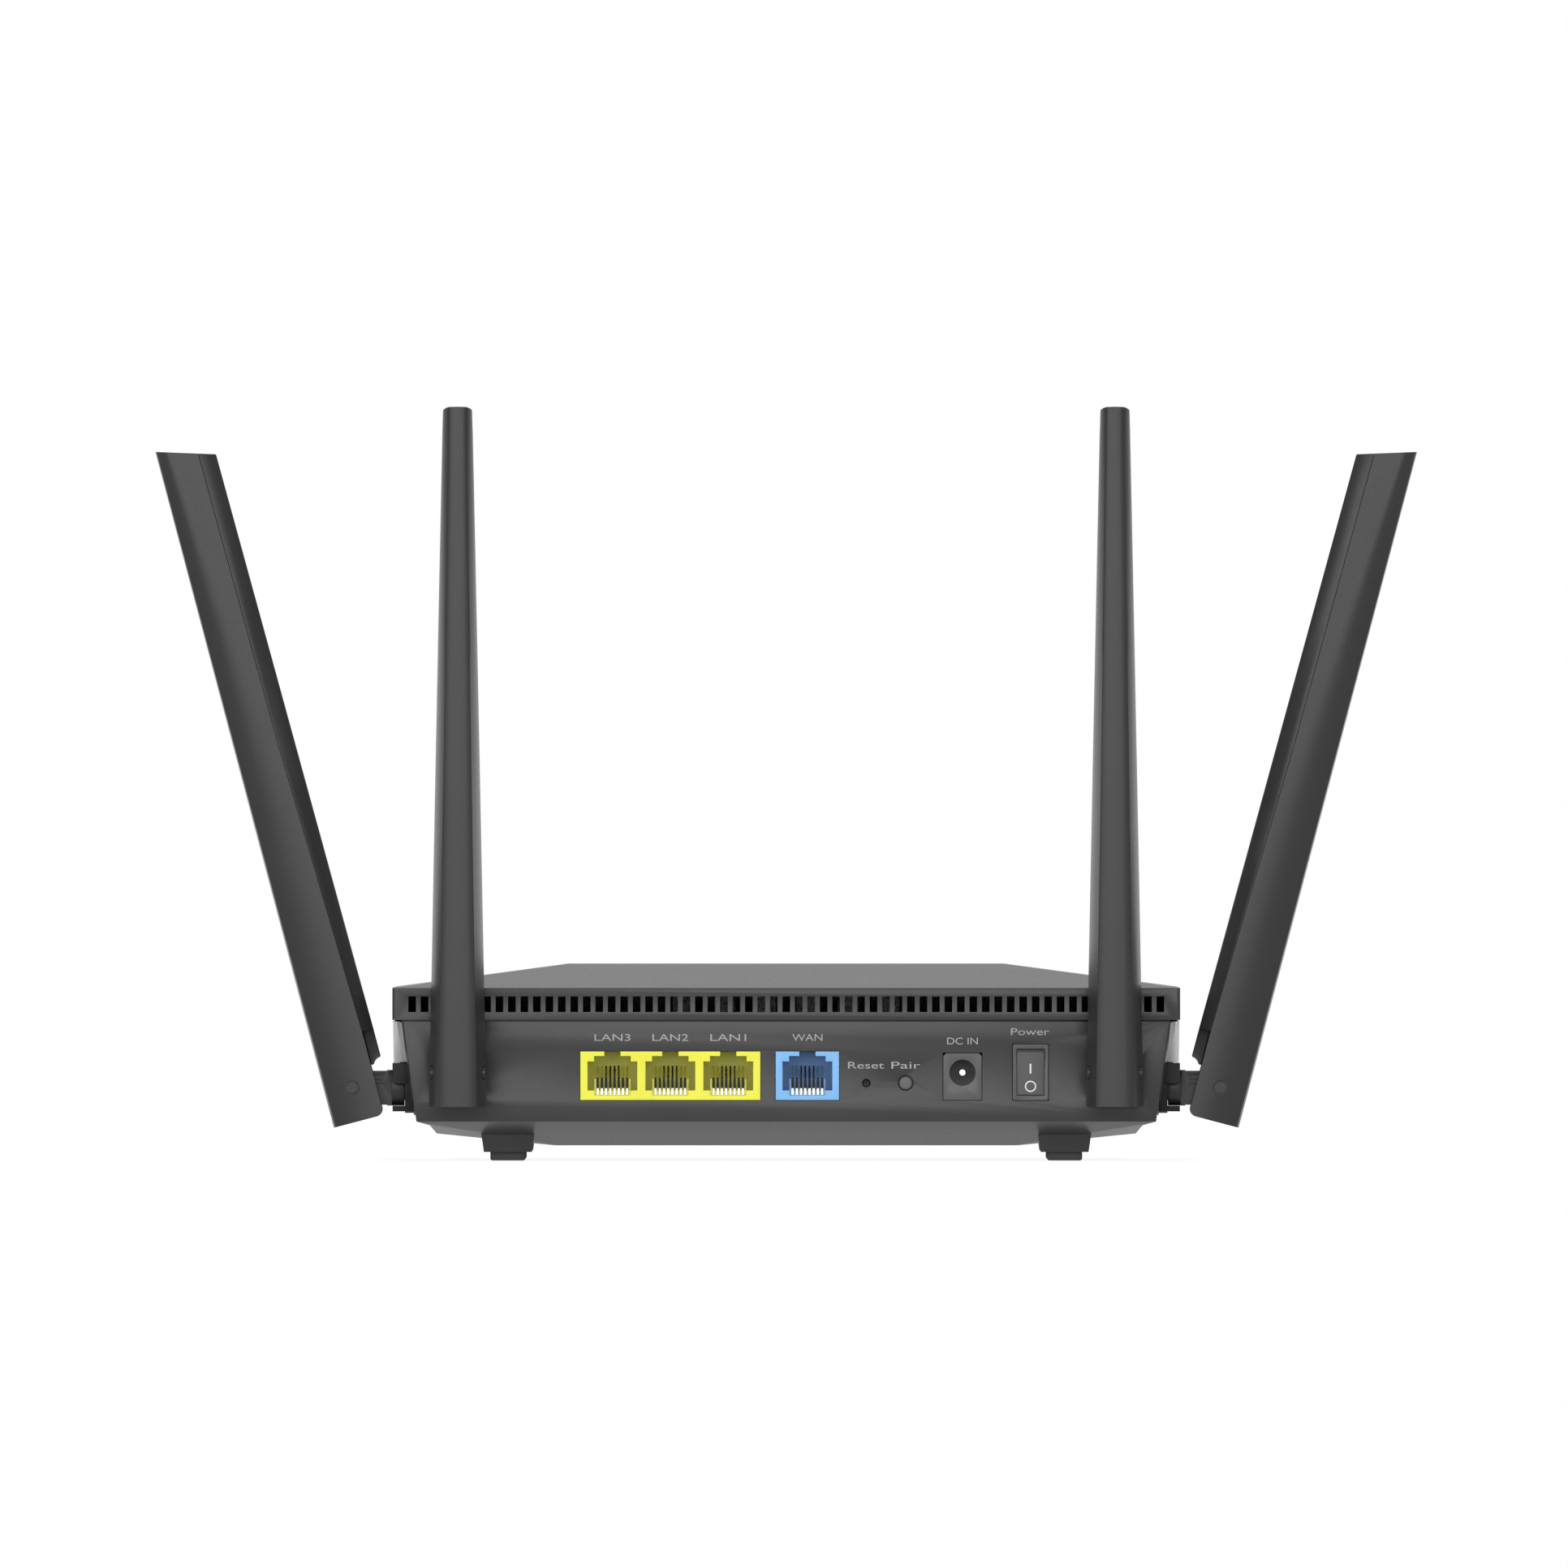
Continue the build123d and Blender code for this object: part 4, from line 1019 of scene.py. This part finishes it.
# ---- studio --------------------------------------------------------------------------------
@dataclass
class Studio:
    """A pale floor, a white surround, soft panels of light and a long lens behind the port side."""

    lens: float = 1600.0
    view_widths: float = 1.99
    sideways: float = -0.54
    floor_reach: float = 30.0
    floor_colour: Colour = (0.2, 0.2, 0.2)
    floor_seen: float = 4.5
    floor_near: float = 2.7
    floor_far: float = 7.0
    surround_near: float = 0.25
    surround_far: float = 0.86
    floor_fade: tuple[float, float] = (0.0, 0.9)
    surround_fade: tuple[float, float] = (-0.15, 0.4)
    sensor: float = 36.0
    clip_end: float = 100.0
    paper_grain: float = 900.0
    paper_tone: float = 0.995
    paper_roughness: float = 0.95
    panels: dict[str, tuple] = field(default_factory=lambda: {
        "key_panel": ((-0.15, -1.7, 0.5), (1.6, 1.3), 3.0),
        "top_panel": ((0.0, 0.1, 1.3), (1.6, 1.2), 0.5),
    })

    def build(self) -> None:
        """Set up the floor, the surround, the lights and the camera."""
        self.lay_floor()
        self.wrap_surround()
        for name, (place, size, radiance) in self.panels.items():
            self.hang_panel(name, Vector(place), size, radiance)
        self.place_camera()
        bpy.context.scene.view_settings.view_transform = "Standard"

    def lay_floor(self) -> None:
        """A wide floor that looks plain white from above and clear from below.

        It lights the router less from under its port side.
        """
        plane = bmesh.new()
        bmesh.ops.create_grid(plane, x_segments=8, y_segments=8, size=self.floor_reach)
        floor = to_object("studio_floor", plane)
        paper = Graph("floor_paper")
        tint = paper.blend(paper.noise(self.paper_grain), toned(self.floor_colour, self.paper_tone),
                           self.floor_colour)
        paper.link(tint, paper.shader.inputs["Base Color"])
        paper.link(tint, paper.shader.inputs["Emission Color"])
        place = paper.add("SeparateXYZ")
        paper.link(paper.place, place.inputs["Vector"])
        bounce = paper.spread(place.outputs["Y"], self.floor_near, self.floor_far, *self.floor_fade)
        glow = paper.add("Mix")
        paper.link(paper.add("LightPath").outputs["Is Camera Ray"], glow.inputs["Factor"])
        paper.link(bounce, glow.inputs["A"])
        glow.inputs["B"].default_value = self.floor_seen
        paper.link(glow.outputs["Result"], paper.shader.inputs["Emission Strength"])
        cover = paper.add("MixShader")
        paper.link(paper.add("NewGeometry").outputs["Backfacing"], cover.inputs["Fac"])
        paper.link(paper.shader.outputs["BSDF"], cover.inputs[1])
        paper.link(paper.add("BsdfTransparent").outputs["BSDF"], cover.inputs[2])
        paper.link(cover.outputs["Shader"], paper.tree.nodes["Material Output"].inputs["Surface"])
        paper.shader.inputs["Roughness"].default_value = self.paper_roughness
        paper.shader.inputs["Specular IOR Level"].default_value = 0.0
        floor.data.materials.append(paper.material)

    def wrap_surround(self) -> None:
        """A surround that looks plain white, and lights more strongly from behind the router."""
        world = bpy.data.worlds.new("white_surround")
        world.use_nodes = True
        nodes, links = world.node_tree.nodes, world.node_tree.links
        soft = nodes["Background"]
        soft.inputs["Color"].default_value = (1, 1, 1, 1)
        split = nodes.new("ShaderNodeSeparateXYZ")
        links.new(nodes.new("ShaderNodeTexCoord").outputs["Generated"], split.inputs["Vector"])
        fade = nodes.new("ShaderNodeMapRange")
        fade.interpolation_type = "SMOOTHSTEP"
        links.new(split.outputs["Y"], fade.inputs["Value"])
        start, end = self.surround_fade
        for key, number in (("From Min", start), ("From Max", end), ("To Min", self.surround_near),
                            ("To Max", self.surround_far)):
            fade.inputs[key].default_value = number
        links.new(fade.outputs["Result"], soft.inputs["Strength"])
        seen = nodes.new("ShaderNodeBackground")
        seen.inputs["Color"].default_value = (1, 1, 1, 1)
        mix = nodes.new("ShaderNodeMixShader")
        links.new(nodes.new("ShaderNodeLightPath").outputs["Is Camera Ray"], mix.inputs["Fac"])
        links.new(soft.outputs["Background"], mix.inputs[1])
        links.new(seen.outputs["Background"], mix.inputs[2])
        links.new(mix.outputs["Shader"], nodes["World Output"].inputs["Surface"])
        bpy.context.scene.world = world

    def hang_panel(self, name: str, place: Vector, size: tuple[float, float], radiance: float) -> None:
        """A soft rectangular panel of light, aimed at the router and unseen by the camera.

        Args:
            name: the light's name.
            place: where it hangs, in metres.
            size: its width and height in metres.
            radiance: how bright its face is.
        """
        light = bpy.data.lights.new(name, "AREA")
        light.shape = "RECTANGLE"
        light.size, light.size_y = size
        light.energy = radiance * math.pi * size[0] * size[1]
        panel = bpy.data.objects.new(name, light)
        panel.location = place
        aim = (CAD_BOX[0] + CAD_BOX[1]) / 2
        panel.rotation_euler = (place - aim).to_track_quat("Z", "Y").to_euler()
        panel.visible_camera = False
        bpy.context.scene.collection.objects.link(panel)

    def place_camera(self) -> None:
        """A level camera behind the port side, aimed at the middle of the router's height."""
        cover_low, cover_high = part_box("top_cover")
        seen_width = self.view_widths * (cover_high.x - cover_low.x)
        data = bpy.data.cameras.new("port_side_camera")
        data.lens = self.lens
        data.sensor_width = self.sensor
        data.clip_end = self.clip_end
        camera = bpy.data.objects.new("port_side_camera", data)
        middle = (CAD_BOX[0] + CAD_BOX[1]) / 2
        back = cover_low.y - seen_width * self.lens / self.sensor
        camera.location = (self.sideways * MM, back, middle.z)
        camera.rotation_euler = (math.pi / 2, 0, 0)
        bpy.context.scene.collection.objects.link(camera)
        bpy.context.scene.camera = camera


# ---- the router ----------------------------------------------------------------------------
ANTENNAS = ("rear_left", "rear_right", "side_left", "side_right")


@dataclass
class Router:
    """Every visible piece of the router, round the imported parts."""

    mouldings: list[Moulding] = field(default_factory=lambda: [
        Moulding("top_cover", "case", "case_plastic", 0.22),
        Moulding("bottom_housing", "case", "case_plastic", 0.18),
        Moulding("rubber_feet", "case", "foot_rubber", 0.5),
        Moulding("lan_port_block", "case", "lan_yellow", 0.06),
        Moulding("wan_port_block", "case", "wan_blue", 0.06),
        Moulding("dc_jack", "case", "jack_plastic", 0.12),
        Moulding("power_switch_frame", "case", "switch_plastic", 0.1),
        Moulding("power_rocker", "rocker", "rocker_plastic", 0.12),
        Moulding("pairing_button", "pairing", "button_plastic", 0.05),
    ])
    guides: tuple[ContactGuides, ...] = (
        ContactGuides("lan_contact_guides", "lan_port_block", (-SOCKET_PITCH, 0.0, SOCKET_PITCH)),
        ContactGuides("wan_contact_guides", "wan_port_block", (0.0,)),
    )
    legends: list[Legend] = field(default_factory=lambda: [
        Legend("legend_lan_3", "LAN3", -41.92, 28.95, 8.65),
        Legend("legend_lan_2", "LAN2", -27.95, 28.95, 8.65),
        Legend("legend_lan_1", "LAN1", -13.98, 28.95, 8.65),
        Legend("legend_wan", "WAN", 5.1, 28.95, 7.3),
        Legend("legend_reset", "Reset", 19.25, 22.25, 8.7),
        Legend("legend_pair", "Pair", 28.85, 22.25, 7.0),
        Legend("legend_dc_in", "DC IN", 42.5, 28.1, 7.4),
        Legend("legend_power", "Power", 58.8, 30.35, 9.2),
    ])

    def build(self) -> None:
        """Build every piece in order and report it."""
        for node in frame["nodes"].values():
            self.dress(node)
        for moulding in self.mouldings:
            self.report(moulding.build())
        for name in ANTENNAS:
            antenna, swivel = f"{name}_antenna", f"{name}_swivel_body"
            self.report(Blade(name).build())
            for moulding in (Moulding(f"{name}_antenna_cover", antenna, "antenna_plastic", 0.25, 2.0),
                             Moulding(f"{name}_hinge_pin", antenna, "pin_plastic", 0.1),
                             Moulding(f"{name}_swivel", swivel, "swivel_plastic", 0.15),
                             Moulding(f"{name}_socket", "case", "socket_plastic", 0.12)):
                self.report(moulding.build())
        for guide in self.guides:
            self.report(guide.build())
        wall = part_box("bottom_housing")[0].y
        for legend in self.legends:
            self.report(legend.build(wall))
        for mark in RockerMarks().build():
            self.report(mark)

    def dress(self, node: bpy.types.Object) -> None:
        """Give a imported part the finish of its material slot."""
        slots = {part["node"]: part["material_slot"] for part in frame["record"]["subparts"]}
        paintshop.coat(node, SLOT_FINISHES[slots[node.name]])

    def report(self, piece: bpy.types.Object) -> None:
        """Log one piece's name and size."""
        log.info("%s: %d faces", piece.name, len(piece.data.polygons))


def main() -> None:
    """Build the studio and the router."""
    logging.basicConfig(level=logging.INFO, format="%(name)s %(message)s")
    Studio().build()
    Router().build()


if __name__ == "__main__":
    main()
